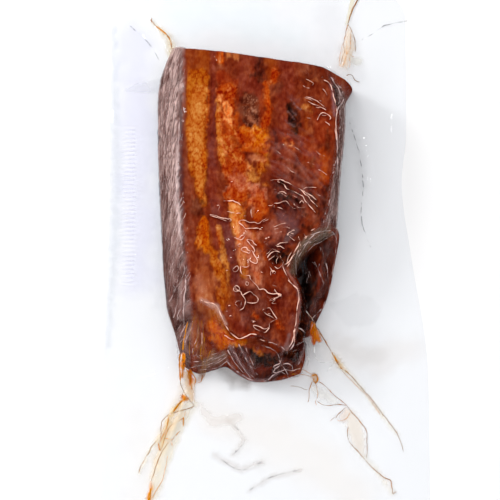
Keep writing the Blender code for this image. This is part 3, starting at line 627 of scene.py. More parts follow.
    ("fatBrown", 0.5, 0.6, ((-14.5, 16.5, 0.2), (-12, 15, 0.2), (-10.5, 16.5, 0.2))),
    ("maroon", 0.8, 1.5, ((-22.5, 21.5, 1), (-19.5, 19, 1.4), (-18.5, 16.5, 0.8))),
    ("soot", 0.6, 1.6, ((-6.5, 78, 0.8), (-3, 79, 0.7))),
    ("orange", 0.9, 1.6, ((4, 80, 1.4), (3.5, 77, 1.4), (2.5, 74.5, 0.8))),
    ("darkRed", 0.8, 0.6, ((6.5, 80, 0.2), (6, 78, 0.2), (5.5, 76.5, 0.2))),
    ("orange", 0.8, 1.2, ((0, 73.5, 0.7), (1, 68, 0.9), (1.5, 62.5, 1), (1, 57.5, 1.1))),
    ("brightOrange", 0.6, 0.7, ((1, 67, 0.2), (1.5, 64.5, 0.3))),
    ("nearBlack", 0.9, 1.8, ((10, 65, 0.9), (10.5, 62, 1.4), (12, 58, 1.7), (13, 54, 1.5),
                             (14, 52.5, 0.6))),
    # painted glints of the film over the dark lean
    ("mauveGlint", 0.7, 0.7, ((10.5, 68, 0.3), (13.5, 65, 0.3), (15, 63.5, 0.3))),
    ("mauveGlint", 0.7, 0.7, ((9.5, 62, 0.2), (12.5, 58.5, 0.3), (13.5, 57, 0.2))),
    ("mauveGlint", 0.6, 0.7, ((8, 59, 0.2), (9.5, 57, 0.2))),
    ("mauveGlint", 0.5, 0.7, ((10.5, 56.5, 0.2), (13, 55, 0.2))),
    ("umber", 0.8, 1.8, ((2.5, 53, 0.7), (5, 50, 1.2), (4, 47, 0.8))),
    ("umber", 0.7, 1.8, ((7, 47, 1), (5, 44, 0.7))),
    ("orange", 0.8, 0.8, ((8.5, 53, 0.3), (10.5, 50.5, 0.4), (12, 47, 0.4))),
    ("brightTan", 0.6, 0.6, ((10, 47, 0.3), (11, 46.5, 0.3))),
    ("pinkBrown", 0.5, 2, ((16, 51.5, 1.2), (19, 53, 1.1))),
    ("darkBrown", 0.7, 1.5, ((5, 40.5, 0.6), (9, 39.5, 0.6), (12.5, 37.5, 0.7), (14.5, 35.5, 0.6))),
    ("umber", 0.75, 2, ((5.5, 34, 0.6), (10.5, 34, 1), (15.5, 31.5, 1.4), (19, 28, 1.1))),
    ("nearBlack", 0.85, 1.5, ((4.5, 29, 0.7), (7.5, 29.5, 0.7), (11, 28, 1.1), (14.5, 25, 0.7))),
    ("nearBlack", 0.8, 1.5, ((5.5, 25, 0.7), (10.5, 24, 1.1), (14, 21.5, 0.9))),
    ("nearBlack", 0.6, 1.8, ((3, 18.5, 0.7), (6, 16, 1.1), (12.5, 15, 1.4))),
    ("nearBlack", 0.65, 1.5, ((19, 25.5, 0.5), (22, 22, 0.7), (23.5, 17, 0.8))),
    ("mauveBrown", 0.7, 1.8, ((16, 22.5, 0.7), (18.5, 18.5, 1.1), (20.5, 15.5, 1.1))),
    # painted glints of the film over the dark lean
    ("mauveGlint", 0.5, 1, ((4, 26.5, 0.3), (7, 25, 0.3))),
    ("mauveGlint", 0.55, 1, ((6.5, 19.5, 0.3), (4, 17, 0.4))),
    ("darkRed", 0.85, 1, ((23, 61, 0.7), (26.5, 59.5, 0.6))),
    ("nearBlack", 0.6, 1.8, ((27, 53, 0.7), (27.5, 48, 0.7), (27, 45, 0.6))),
    ("nearBlack", 0.6, 2, ((26.5, 29.5, 0.6), (26, 24, 0.7), (25, 18.5, 1.1))),
    ("pinkBrown", 0.5, 1.5, ((19, 75, 0.8), (22, 76, 0.7))),
    ("pinkBrown", 0.45, 1.5, ((16.5, 68.5, 0.4), (20.5, 66.5, 0.6), (25, 64, 0.4))),
    ("orange", 0.75, 2, ((-14, 31, 1.6), (-13, 26.5, 2.3), (-10.5, 24.5, 1.6))),
    ("pinkTan", 0.45, 2, ((-15.5, 32, 1.2), (-11, 28, 1.5), (-6.5, 28, 1.4))),
    ("fatTan", 0.75, 1.5, ((-15, 20, 1.1), (-13, 16.5, 2.3), (-10.5, 16, 1.9), (-10.5, 12, 1.6))),
    ("fatTan", 0.7, 1.8, ((-14, 12, 1.4), (-13, 8.5, 1.8), (-10.5, 6, 2.1), (-10, 2.5, 2.1),
                          (-10.5, -1.5, 2.3), (-10.5, -5.5, 2.1), (-9.5, -10, 1.6))),
    ("pinkTan", 0.5, 1.6, ((-13, 5.5, 1.1), (-12, 0, 1.4), (-10.5, -7, 1.4))),
    ("orange", 0.75, 2, ((-3, 26.5, 1.3), (-1.5, 22.5, 1.8), (-2, 18, 1.6), (-4.5, 15.5, 1.3))),
    ("pinkTan", 0.6, 1.2, ((-6.5, 24.5, 0.5), (-6.5, 21, 0.5), (-6, 16.5, 0.5))),
    ("orange", 0.65, 1.6, ((-6.5, 9.5, 0.8), (-5.5, 7, 0.9), (-3.5, 4, 1.1), (-1.5, 0.5, 0.9),
                           (-0.5, -3, 0.8))),
    ("pinkTan", 0.5, 1.6, ((-2, 8.5, 1), (-4, 5.5, 0.7))),
    ("fatBrown", 0.55, 1.2, ((-8, 3.5, 0.7), (-6.5, 1.5, 0.6))),
    ("fatBrown", 0.55, 1.2, ((-8.5, -3.5, 0.7), (-5.5, -5, 0.4))),
    ("mauveBrown", 0.85, 2.5, ((3, 11, 1.6), (7, 11, 2.8), (9, 8.5, 2.3), (5, 6.5, 2.3))),
    ("redMauve", 0.5, 1.5, ((1, 6.5, 1.4), (2, 4, 1))),
    ("umber", 0.85, 2, ((3.5, 18, 1.3), (8.5, 16.5, 2.6), (13.5, 15.5, 2.3), (14, 18, 2.1))),
    ("nearBlack", 0.8, 1.2, ((5, 24, 0.6), (7, 23, 0.5), (11, 24.5, 0.6))),
    ("umber", 0.7, 1.5, ((10.5, 28, 0.7), (5.5, 28.5, 0.7))),
    ("nearBlack", 0.6, 1, ((16, 11, 0.7), (19, 9, 1.2), (19.5, 12, 0.7))),
    ("redBrown", 0.7, 1.5, ((18.5, 19.5, 1), (19.5, 15.5, 1.3))),
    ("umber", 0.8, 1.2, ((0, 3.5, 1), (2, 5.5, 0.7))),
    ("nearBlack", 0.85, 1, ((2, -0.5, 0.4), (4, -2.5, 1), (5.5, -4.5, 0.9))),
    ("nearBlack", 0.7, 1.2, ((8.5, -1, 1.2), (10.5, 0.5, 1.2), (11, -3, 1))),
    ("plum", 0.7, 1.5, ((10.5, 4, 1.4), (12.5, 5.5, 0.9))),
    ("redOrange", 0.9, 1, ((5.5, -8.5, 1), (6.5, -10.5, 1.2))),
    ("darkBrown", 0.9, 1.5, ((19.5, 6, 1.4), (16, 2, 1.4), (12.5, -3.5, 1.7), (11, -8, 1.7))),
    ("pinkTan", 0.5, 3, ((-10.5, 9, 2.6), (-8.5, 3, 2.6), (-6.5, -4, 2.4))),
    ("pinkTan", 0.3, 3, ((-6, -9, 2.4), (-4.5, -15, 3))),
    ("maroon", 0.9, 2, ((30.5, 80, 2.2), (36, 79.5, 2.4), (39, 79, 1.6))),
    # painted shade in the notch by the back corner
    ("nearBlack", 0.9, 1.2, ((31, 73, 1), (33, 72.5, 1.2), (32.5, 69, 1))),
    ("lobe", 0.9, 3, ((-7, -21, 6.1), (-3.5, -29, 7), (-2, -34, 5.2))),
    ("plumBrown", 0.6, 3, ((-15, -25.5, 2.6), (-10, -29, 3.5))),
    ("pinkTan", 0.6, 2.5, ((-10.5, 10.5, 2.8), (-8, 3, 2.8), (-5, -4, 2.5), (-3.5, -11, 2.2))),
    ("brightTan", 0.5, 1.4, ((-13.5, 19, 1.4), (-13, 10.5, 1.2), (-12, 3.5, 1.1))),
    ("fatAmber", 0.7, 1.6, ((-24, 2, 1.7), (-22, -4, 1.4), (-19, -11, 1.3), (-17.5, -17.5, 1.2),
                            (-16.5, -22, 0.8))),
    ("redBrown", 0.7, 1.8, ((-29, -1, 2.5), (-27, -2, 2.5))),
    ("maroon", 0.8, 1.4, ((-23.5, 11, 1.4), (-23, 6, 1.4), (-22, 1.5, 1.1))),
    ("plum", 0.75, 2, ((-18.5, 12.5, 2.3), (-16, 5, 2), (-14.5, -2, 1.6))),
    ("plum", 0.8, 1.6, ((-13.5, -7.5, 1.4), (-13.5, -13, 1.7), (-13.5, -17.5, 1.3))),
    ("pinkBrown", 0.5, 5, ((-28, -8.5, 3.0), (-26, -15.5, 3.9), (-27, -21, 2.8))),
    ("maroon", 0.7, 3, ((-15, -23, 2.2), (-13.5, -30, 2.2), (-10.5, -34, 2.2))),
    ("umber", 0.85, 2.5, ((2.5, 1, 2.6), (7, 3, 3.1), (11.5, 7.5, 2.6))),
    ("nearBlack", 0.7, 2, ((4, -3, 1.7), (7, -1, 1.7))),
    ("darkRed", 0.7, 3, ((4, -15.5, 3.3), (7, -22, 3.9), (9.5, -28.5, 2.8))),
    ("orange", 0.8, 1.6, ((-5.5, -27, 1.1), (-3.5, -28.5, 0.9))),
    ("orange", 0.85, 1.8, ((5.5, -31.5, 1.3), (6.5, -32.5, 0.9))),
    ("fatBrown", 0.5, 2, ((-15.5, -16.5, 1.3), (-14.5, -23, 1.3), (-13, -29, 1.3))),
    ("pinkBrown", 0.9, 3, ((-26.5, -21, 3.5), (-25.5, -26, 3.1))),
    ("ochre", 0.8, 2, ((-22, -25.5, 2.7), (-21.5, -31, 3.2), (-18.5, -35, 2.7))),
    ("gold", 0.95, 2, ((-24, -30.5, 1.5), (-22.5, -34, 1.7))),
    ("fatAmber", 0.9, 2, ((-20, -37, 1.7), (-15, -39, 2), (-11.5, -39, 1.3))),
    ("brownStrand", 0.9, 3, ((-31, -29, 2.6), (-31, -37, 3.1), (-29, -43, 3.1))),
    ("rindEdge", 0.8, 1.6, ((-33, -28, 0.9), (-33.5, -38, 1), (-32.5, -49, 1))),
    ("darkBrown", 0.7, 1.6, ((-30, -31, 0.7), (-29.5, -40, 0.9), (-30, -50, 0.9))),
    ("gold", 0.7, 2, ((-24, -36, 1.2), (-19, -39.5, 1.6), (-14, -40.5, 1.2))),
    ("webGrey", 0.5, 2, ((-27, -47, 1.4), (-22, -46, 1.8), (-18.5, -44, 1.4))),
    ("umber", 0.7, 1.2, ((-29, -52, 1), (-23, -50.5, 1), (-18, -48.5, 1.2))),
    ("deepMaroon", 0.95, 2, ((-14, -42, 3), (-8, -47, 5), (0, -50, 6), (9, -48, 5), (15, -41, 4))),
    ("lobe", 0.7, 1, ((-14.5, -40.5, 0.7), (-12.5, -45.5, 0.8), (-9, -50.5, 0.8), (-4.5, -54.5, 0.6))),
    ("lobe", 0.6, 0.8, ((-9.5, -39, 0.5), (-7.5, -44.5, 0.6), (-4.5, -50.5, 0.5))),
    # painted shade in the hollow of the folded front end
    ("nearBlack", 0.95, 1.6, ((-6, -42.5, 1.2), (-3, -45.5, 2.6), (2, -47.5, 2.8), (5, -46.5, 1.6))),
    ("redOrange", 0.45, 3, ((-6, -51.5, 0.6), (-1, -50.5, 1.0), (2, -49.5, 0.6))),
    ("redOrange", 0.8, 1, ((-9.5, -36.5, 1), (-5, -35.5, 1.1))),
    ("umber", 0.7, 1.5, ((-1, -37, 0.9), (3.5, -39, 1.1), (7, -41.5, 0.9))),
    ("gold", 0.62, 1.2, ((-5, -41.5, 0.6), (-2.5, -43.5, 1.0))),
    # painted shade in the small hollow beside it
    ("nearBlack", 0.9, 1.2, ((10, -45, 0.9), (13.5, -42.5, 1.4), (14.5, -45, 0.8))),
    ("gold", 0.8, 1.5, ((-23.5, -29, 1.5), (-21, -34.5, 2.2), (-15.5, -38.5, 1.4), (-9.5, -39, 0.9))),
    ("fatTan", 0.6, 1, ((-20.5, 11.5, 0.7), (-19, 2, 0.9), (-17, -7, 0.9), (-16.5, -14, 0.7))),
    ("fatAmber", 0.7, 1.5, ((-20.5, -16.5, 1.2), (-19, -24, 1.5), (-21, -29, 1.2))),
    # painted shade in the same small hollow
    ("nearBlack", 0.9, 1.4, ((9, -43.5, 1.4), (11.5, -45.5, 1.6))),
    # painted shade down the crevice between the lobe and the flap
    ("nearBlack", 0.95, 2, ((18, -8, 2.2), (18, -14, 3.2), (18.5, -21, 3.6), (17.5, -30, 2.8),
                            (14, -37, 1.6))),
    ("darkBrown", 0.8, 2, ((16, 5, 3), (15, -1, 3), (14, -7, 2))),
    ("deepMaroon", 0.95, 2.4, ((29, 6, 2.8), (27, -6, 3.6), (24.5, -17, 3.4), (20.5, -28, 2.8))),
    ("nearBlack", 0.6, 2, ((23, -4, 1.2), (22, -10, 1.6), (20, -20, 2))),
    ("redOrange", 0.6, 0.9, ((24, 0, 0.5), (24.5, -8, 0.6), (23.5, -15, 0.5))),
    ("darkRed", 0.6, 1.2, ((22, -2, 0.9), (25, -10, 0.9), (25.5, -14.5, 0.6))),
    ("nearBlack", 0.85, 1.2, ((20.5, 5, 0.9), (26.5, 8.5, 1.2), (30.5, 10, 0.9))),
    # painted shade in the notch by the back corner
    ("nearBlack", 0.8, 2, ((30.5, 75, 1), (32.5, 70, 1.8), (33, 65, 1.6))),
    ("redOrange", 0.8, 1.6, ((31.5, 76, 1), (35, 72.5, 1.6))),
)

belly = {
    "columns": (36, 150, 50), "rows": (54, 14, 230, 26), "floorGap": 0.3, "skirt": 1.6,
    "fatRise": 0.3, "leanSink": 0.25, "roughness": 0.38, "pleatShade": 0.26,
}

# the fatty colours, which stand proud of the lean ones, and the oval cut muscle with pale specks
fatty = ("fatTan", "fatAmber", "brightTan", "orange", "pinkTan", "amber", "gold", "ochre", "brightOrange")
ovalCut = ((-6.8, 66), (-6, 58))

# hollows in the folded front end and beside the back corner: centre, half sizes, depth
hollows = (
    ((0.0, -46.5), (6.0, 3.4), 5.0), ((10.5, -44.5), (3.0, 2.4), 2.5), ((33.0, 68.0), (2.6, 4.6), 2.0),
)


def layerShift(x, y):  # the layers' edges wander
    dx = 0.55 * fractal(x, y * 0.6, 5, 11) + 0.35 * fractal(x, y * 0.6, 1.6, 17)
    dy = 1.0 * fractal(x, y, 6, 23) + 0.4 * fractal(x, y, 2, 29)
    return x + dx, y + dy


def sideRibs(y, z):  # the film's standing folds down the left wall
    lean = np.radians(14 + 30 * smooth((80 - y) / 90))
    run, cross = y * np.cos(lean) + z * np.sin(lean), z * np.cos(lean) - y * np.sin(lean)
    cross = cross + 0.9 * fractal(run, cross, 9, 70, 2)
    coarse, fine = ridged(cross / 4.4, run / 24, 71) ** 1.6, ridged(cross / 2.1, run / 13, 73) ** 1.8
    return np.clip(0.75 * coarse + 0.6 * fine, 0, 1)


def endRibs(y, z):  # and down the right one
    coarse, fine = ridged(z / 4.8 + y / 15, y / 20, 75) ** 1.6, ridged(z / 2.2, y / 11, 77) ** 1.8
    return np.clip(0.8 * coarse + 0.5 * fine, 0, 1)


def pleatShade(x, y):  # each pleat shades the meat on the side away from the light
    shade = np.zeros(np.shape(x))
    for half, route in pleats:
        aside, _, _ = nearest(x - 0.4, y + 0.5, route)
        shade = np.maximum(shade, half / 0.2 * np.exp(-(aside / 0.6) ** 2))
    return belly["pleatShade"] * np.clip(shade, 0, 1)


def bellyColour(x, y, z, shaded=False):  # the painted colour and the share of fat
    yCut = np.minimum(y, along(form["backTop"], x) - 1.2)  # the cut end shows the same layers
    wx, wy = layerShift(x, yCut)
    grain = fractal(x, yCut * 0.55, 1.8, 31, 3)
    colour = np.ones(x.shape + (3,)) * linear(hue["redBrown"])
    cover = {}
    for name, strength, edge, path in strokes:
        aside, _, width = nearest(wx, wy, path)
        share = strength * smooth(0.5 + (width - aside + 0.5 * edge * grain) / edge)
        colour = towards(colour, linear(hue[name]), share)
        for kind in cover:
            cover[kind] = cover[kind] * (1 - share)
        cover[name] = np.maximum(cover.get(name, 0), share)
    fat = np.clip(sum(cover.get(name, 0) for name in fatty), 0, 1)
    threads = ridged((x + 1.5 * fractal(x, yCut, 6, 36)) / 2.6, yCut / 5, 37) ** 4
    colour = towards(colour, linear(hue["orange"]), 0.16 * threads * (1 - fat))
    patches = smooth(0.5 + 1.4 * lattice(x / 7, yCut / 11, 47))
    flecks = smooth((fractal(x, yCut * 0.8, 1.3, 45, 2) - 0.15) / 0.35) * fat * patches
    seams = ridged((x + 1.2 * fractal(x, yCut, 4, 38)) / 3.4, yCut / 4.4, 39) ** 5 * fat
    lobules = smooth((fractal(x, yCut * 0.75, 2.4, 49, 2) - 0.15) / 0.4) * fat * smooth((x + 23) / 2)
    colour = towards(colour, linear(hue["brightTan"]), 0.32 * lobules)
    ovalSpecks = smooth((lattice(x / 0.55, yCut / 0.6, 43) - 0.25) / 0.3)
    ovalSpecks = ovalSpecks * smooth((4.4 - nearest(x, yCut, ovalCut)[0]) / 2)
    colour = towards(colour, linear(hue["speck"]), 0.6 * ovalSpecks)
    # thicker smoke deepens a colour, and when shaded is set the painted shade beside each pleat deepens it
    # too: a power keeps its hue warm
    depth = (1 + 0.20 * fractal(x, yCut, 6, 35, 3) + 0.13 * fractal(x, yCut * 0.7, 1.6, 33, 2)
             + 0.50 * flecks + 0.60 * seams)
    if shaded:
        depth = depth + pleatShade(x, y)
    colour = colour ** np.clip(depth, 0.7, 2.2)[..., None]
    # on both walls the meat's dark colour is lightened by a painted sheen on the crests of the film's
    # standing folds
    beyond = along(form["leftTop"], y) - x
    onRind = smooth((beyond - 0.6) / 1.2)
    ribs = sideRibs(y, z) * (1 - 0.45 * np.clip(beyond / 12, 0, 1))
    colour = towards(colour, towards(linear(hue["rindLow"]), linear(hue["rindFoldSheen"]), ribs), onRind)
    onRight = smooth((x - along(form["rightTop"], y) - 1.2) / 1.6)
    onRight = onRight * smooth((y - 10) / 6) * smooth((77 - y) / 3)
    side = towards(linear(hue["sideLow"]), linear(hue["sideFoldSheen"]), endRibs(y, z))
    return towards(colour, side, 0.95 * onRight), fat * (1 - onRind)


def hollow(x, y):
    depth = np.zeros(np.shape(x))
    for (x0, y0), (wide, high), deep in hollows:
        depth = depth + deep * smooth(1.25 - np.hypot((x - x0) / wide, (y - y0) / high))
    return depth


def bellyRelief(x, y, fat):
    lean = 1 - fat
    return (belly["fatRise"] * fat - belly["leanSink"] * lean * smooth(0.5 + lattice(x / 3, y / 6, 51))
            + 0.30 * fractal(x, y, 9, 53) + 0.12 * fractal(x, y, 2.6, 57))


def blockStops(x, y):
    f, out = form, belly["skirt"]
    cols = (along(f["leftBase"], y) - out, along(f["leftTop"], y), along(f["rightTop"], y),
            along(f["rightBase"], y) + out)
    rows = (along(f["frontBase"], x) - out, along(f["frontRidge"], x) - lobeRun(x),
            along(f["frontRidge"], x) + 1, along(f["backTop"], x), along(f["backBase"], x) + out)
    return cols, rows


def bellyMaterial():
    tree, material = newMaterial("smokedBelly")
    out = addNode(tree, "OutputMaterial")
    shader = addNode(tree, "BsdfPrincipled", {"Roughness": belly["roughness"], "Specular IOR Level": 0.0})
    paint = addNode(tree, "VertexColor", layer_name="paint")
    fat = carried(tree, "fat")
    where = addNode(tree, "TexCoord")
    stretch = addNode(tree, "Mapping", {"Scale": (1.0, 0.55, 1.0)})
    grain = addNode(tree, "TexNoise", {"Scale": 620, "Detail": 5, "Roughness": 0.62})  # mottled by smoke
    flecks = addNode(tree, "TexNoise", {"Scale": 1500, "Detail": 2})  # little lobules of the fat
    soft = ranged(tree, 0.30, 0.70, 0.86, 1.16)
    spots = ranged(tree, 0.48, 0.72, 0.0, 0.42)
    onFat = addNode(tree, "Math", operation="MULTIPLY")
    total = addNode(tree, "Math", operation="ADD")
    deepen = addNode(tree, "Gamma")  # more smoke: a deeper, warmer colour
    bump = addNode(tree, "Bump", {"Strength": 0.35, "Distance": 0.0004})
    wire(tree, (where, "Object", stretch, "Vector"), (stretch, 0, grain, "Vector"),
         (stretch, 0, flecks, "Vector"), (grain, "Fac", soft, "Value"), (flecks, "Fac", spots, "Value"),
         (spots, 0, onFat, 0), (fat, "Fac", onFat, 1), (soft, 0, total, 0), (onFat, 0, total, 1),
         (paint, "Color", deepen, "Color"), (total, 0, deepen, "Gamma"), (deepen, 0, shader, "Base Color"),
         (grain, "Fac", bump, "Height"), (bump, 0, shader, "Normal"), (shader, 0, out, "Surface"))
    return material


def makeBelly():
    columns = gridLines(belly["columns"], (toFoot, even, fromFoot))
    rows = gridLines(belly["rows"], (toFoot, even, even, fromFoot))
    _, _, x, y = plan(columns, rows, blockStops, (-46.0, -36.0, 22.0, 34.0))
    z = blockHeight(x, y)
    fat = bellyColour(x, y, z)[1]
    z = z + (bellyRelief(x, y, fat) - hollow(x, y)) * smooth(z / 6)
    mesh, _ = gridMesh("belly", x, y, z)
    shape = bmesh.new()
    shape.from_mesh(mesh)
    bmesh.ops.bisect_plane(shape, geom=shape.verts[:] + shape.edges[:] + shape.faces[:], dist=1e-7,
                           plane_co=(0, 0, belly["floorGap"] * mm), plane_no=(0, 0, -1), clear_outer=True)
    bmesh.ops.holes_fill(shape, edges=[e for e in shape.edges if e.is_boundary], sides=0)
    bmesh.ops.recalc_face_normals(shape, faces=shape.faces)
    shape.to_mesh(mesh)
    shape.free()
    p = points(mesh)
    colour, fat = bellyColour(*p.T, True)
    setColour(mesh, "paint", colour)
    setField(mesh, "fat", fat)
    piece = newPiece("belly", mesh, bellyMaterial())
    mesh.set_sharp_from_angle(angle=math.radians(60))
    print("belly made,", len(mesh.vertices), "points")


makeBelly()

# ---- the film: a sheet draped over the belly, its flat margins, and the sheet underneath

film = {
    "wrapColumns": (76, 128, 56), "wrapRows": (62, 14, 200, 44),
    "marginColumns": (42, 8, 30, 8, 46), "marginRows": (90, 8, 3, 290, 6, 46),
    "left": ((-127.5, -75.0), (-60, -75.0), (10, -73.2), (127.5, -73.4)),
    "right": ((-127.5, 75.0), (-70, 75.0), (-40, 74.2), (5, 67.5), (35, 64.0), (60, 66.4), (127.5, 66.8)),
    "halfLength": 127.5, "halfWidth": 75.0, "corner": 11.0, "cornerDraw": 0.09, "sealBand": 9.0,
    "gap": 0.35, "rim": 0.22, "wave": 1.0, "under": 0.07, "lowest": 0.14,
    "roughness": 0.05, "mostShine": 0.055, "backGloss": 0.15,
    # the first colour is the painted sheen on the film over the block, the second the painted reflection of
    # the room on the flat film, with its share after it
    "veil": (0.686, 0.479, 0.445), "roomReflection": (0.80, 0.86, 0.94), "roomReflectionShare": 0.10,
    "ripple": 2.0, "rippleHeight": 0.12, "sealRib": 1.5, "sealRibHeight": 0.06,
}

# folds that stand off the block's corners: route, height at the block, half width at the block and end
folds = (
    (((-38.0, 93.0), (-44.0, 106.0), (-53.7, 118.5)), 8.0, 6.0, 2.5),
    (((36.0, 87.0), (40.0, 108.0), (44.0, 126.0)), 10.0, 6.0, 3.0),
    (((-35.5, -34.0), (-38.0, -50.0), (-41.0, -65.0), (-49.0, -82.0), (-58.0, -98.0)), 16.0, 7.0, 4.0),
    (((-36.0, -60.0), (-43.0, -80.0), (-53.0, -109.0)), 4.0, 5.5, 3.0),
    (((18.0, -30.0), (26.0, -46.0), (44.0, -68.0), (64.0, -92.0)), 8.0, 9.0, 4.5),
    (((10.0, -48.0), (24.0, -64.0), (37.0, -82.0), (58.0, -106.0)), 5.0, 8.5, 4.5),
)

# soft creases in the margins: height, half width, route
marginCreases = (
    (0.9, 2.2, ((47, 62), (50, 40), (49, 34), (52, 20), (55, 4))),
    (1.0, 2.4, ((36, 6), (42, -4), (45, -18), (45, -28), (38, -37), (28, -39))),
    (0.8, 5.0, ((-18, 104), (-4, 112), (16, 124))),
    (0.7, 2.0, ((-57.5, 111), (-54.5, 106.5), (-51, 102.5))),
    (0.9, 2.4, ((45, 103), (48.5, 106), (53, 108), (59.5, 113.5), (66, 118.5))),
    (0.6, 3.0, ((-72, 88), (-62, 86), (-54, 89))),
    (0.6, 1.6, ((-49, -40), (-58, -44), (-70, -43))),
    (0.6, 1.6, ((-48, -52), (-58, -55), (-66, -52))),
    (0.7, 3.0, ((-18, -60), (-4, -66), (10, -64))),
    (0.8, 3.2, ((-22, -78), (-6, -92), (4, -110))),
    (0.6, 2.6, ((12, -84), (20, -100), (24, -120))),
    (0.7, 3.0, ((56, -60), (64, -74), (70, -96))),
    (0.6, 2.6, ((58, 84), (61, 70), (60, 56))),
)


def foldHeight(x, y):
    height = np.zeros(np.shape(x))
    for path, rise, wide, narrow in folds:
        aside, share, _ = nearest(x, y, path)
        half = wide + (narrow - wide) * share
        tent = rise * (1 - share) ** 1.7 + 0.8
        flank = np.clip(1 - aside / half, 0, 1)
        height = np.maximum(height, tent * (0.35 * smooth(flank) + 0.65 * flank ** 2.2))
    return height


def marginHeight(x, y):
    toSeal = smooth((film["halfLength"] - film["sealBand"] - np.abs(y)) / 20)
    waves = np.clip(0.45 + 0.55 * fractal(x, y, 34, 61, 2), 0, 1.3)
    creased = np.zeros(np.shape(x))
    for rise, half, path in marginCreases:
        aside, share, _ = nearest(x, y, path)
        creased = np.maximum(creased, rise * np.sin(math.pi * np.clip(share, 0.04, 0.96)) ** 0.6
                             * np.clip(1 - aside / half, 0, 1) ** 1.6)
    return film["rim"] + toSeal * (film["wave"] * waves + creased)


def drape(x, y, fat):
    block = np.maximum(blockHeight(x, y), 0)
    block = block + np.where(block > 0.5, 0.25 * bellyRelief(x, y, fat), 0) * smooth(block / 6)
    fold = foldHeight(x, y)
    up = softMax(block, fold)
    return marginHeight(x, y) + up * (1 - np.exp(-np.maximum(np.maximum(block, fold), 0)))


def filmStops(x, y):
    f = form
    columns = (along(film["left"], y), along(f["leftBase"], y) - 1, along(f["leftTop"], y),
               along(f["rightTop"], y), along(f["rightBase"], y) + 1, along(film["right"], y))
    rows = (-film["halfLength"], along(f["frontBase"], x) - 1.5, along(f["frontRidge"], x) - lobeRun(x),
            along(f["frontRidge"], x) + 1, along(f["backTop"], x), along(f["backBase"], x) + 1,
            film["halfLength"])
    return columns, rows


# painted reflections of the room and painted shade on the flat film, with a painted shadow under the block's
# front: colour, strength, edge softness, route of (x, y, half width)
paintedMarginLight = (
    ((207, 207, 250), 0.15, 12, ((-61, 106, 7), (-59.5, 62, 8), (-59, -8, 7))),
    ((228, 250, 255), 0.12, 14, ((-40, 119, 8), (-2, 115, 9), (12, 106, 6))),
    ((218, 218, 222), 0.10, 10, ((31, 120, 6), (33.5, 103, 5))),
    ((236, 236, 238), 0.03, 12, ((57, 100, 6), (54.5, 76, 5), (52, 40, 6), (58, 0, 6))),
    ((230, 214, 200), 0.10, 10, ((30, -41, 4.5), (50, -46, 7), (66, -40, 6))),
    ((250, 234, 214), 0.12, 18, ((-20, -72, 9), (16, -86, 12), (40, -108, 9))),
    ((252, 240, 224), 0.10, 16, ((-60, -70, 6), (-56, -110, 8))),
    ((236, 240, 250), 0.10, 5, ((-50, -20, 2), (-49, 30, 2), (-52, 60, 2))),
    ((196, 208, 222), 0.16, 4.0, ((-71.5, 112, 0.6), (-70.5, 70, 1.6), (-69.5, 40, 2.2), (-70, 5, 1.8),
                                  (-72.5, -40, 0.6))),
    ((214, 216, 222), 0.16, 1.4, ((-66, 81.5, 0.3), (-60, 82.5, 2.2), (-50, 83.5, 3.6))),
    ((214, 214, 216), 0.08, 2.4, ((31, -20.5, 1.0), (40, -22.5, 8.0), (46, -23, 7.0))),
    ((170, 170, 172), 0.08, 4.0, ((40, 66, 1.5), (44, 50, 2.0), (46, 36, 1.5))),
    ((206, 200, 194), 0.10, 6.0, ((34, -36, 2.5), (40, -42, 3.5), (52, -43, 4.0))),
    # a painted shadow beside the foot of the block's front end
    ((130, 112, 100), 0.36, 7.0, ((-20, -50, 1.5), (-14, -54, 2.6), (-8, -56, 1.5))),
    ((232, 222, 214), 0.22, 3.0, ((-30, -66, 1.6), (-24, -74, 2.2), (-12, -72, 2.0))),
    ((214, 204, 196), 0.26, 2.4, ((-17, -73, 0.9), (-9.5, -82, 1.0), (-15, -89, 0.9))),
    ((214, 204, 196), 0.26, 2.6, ((-23, -89, 1.2), (-11.5, -95.5, 1.3), (-1.5, -92, 1.2))),
    ((214, 204, 196), 0.24, 2.4, ((-7, -104.5, 0.9), (2, -99, 1.0), (16, -95.5, 0.9))),
)
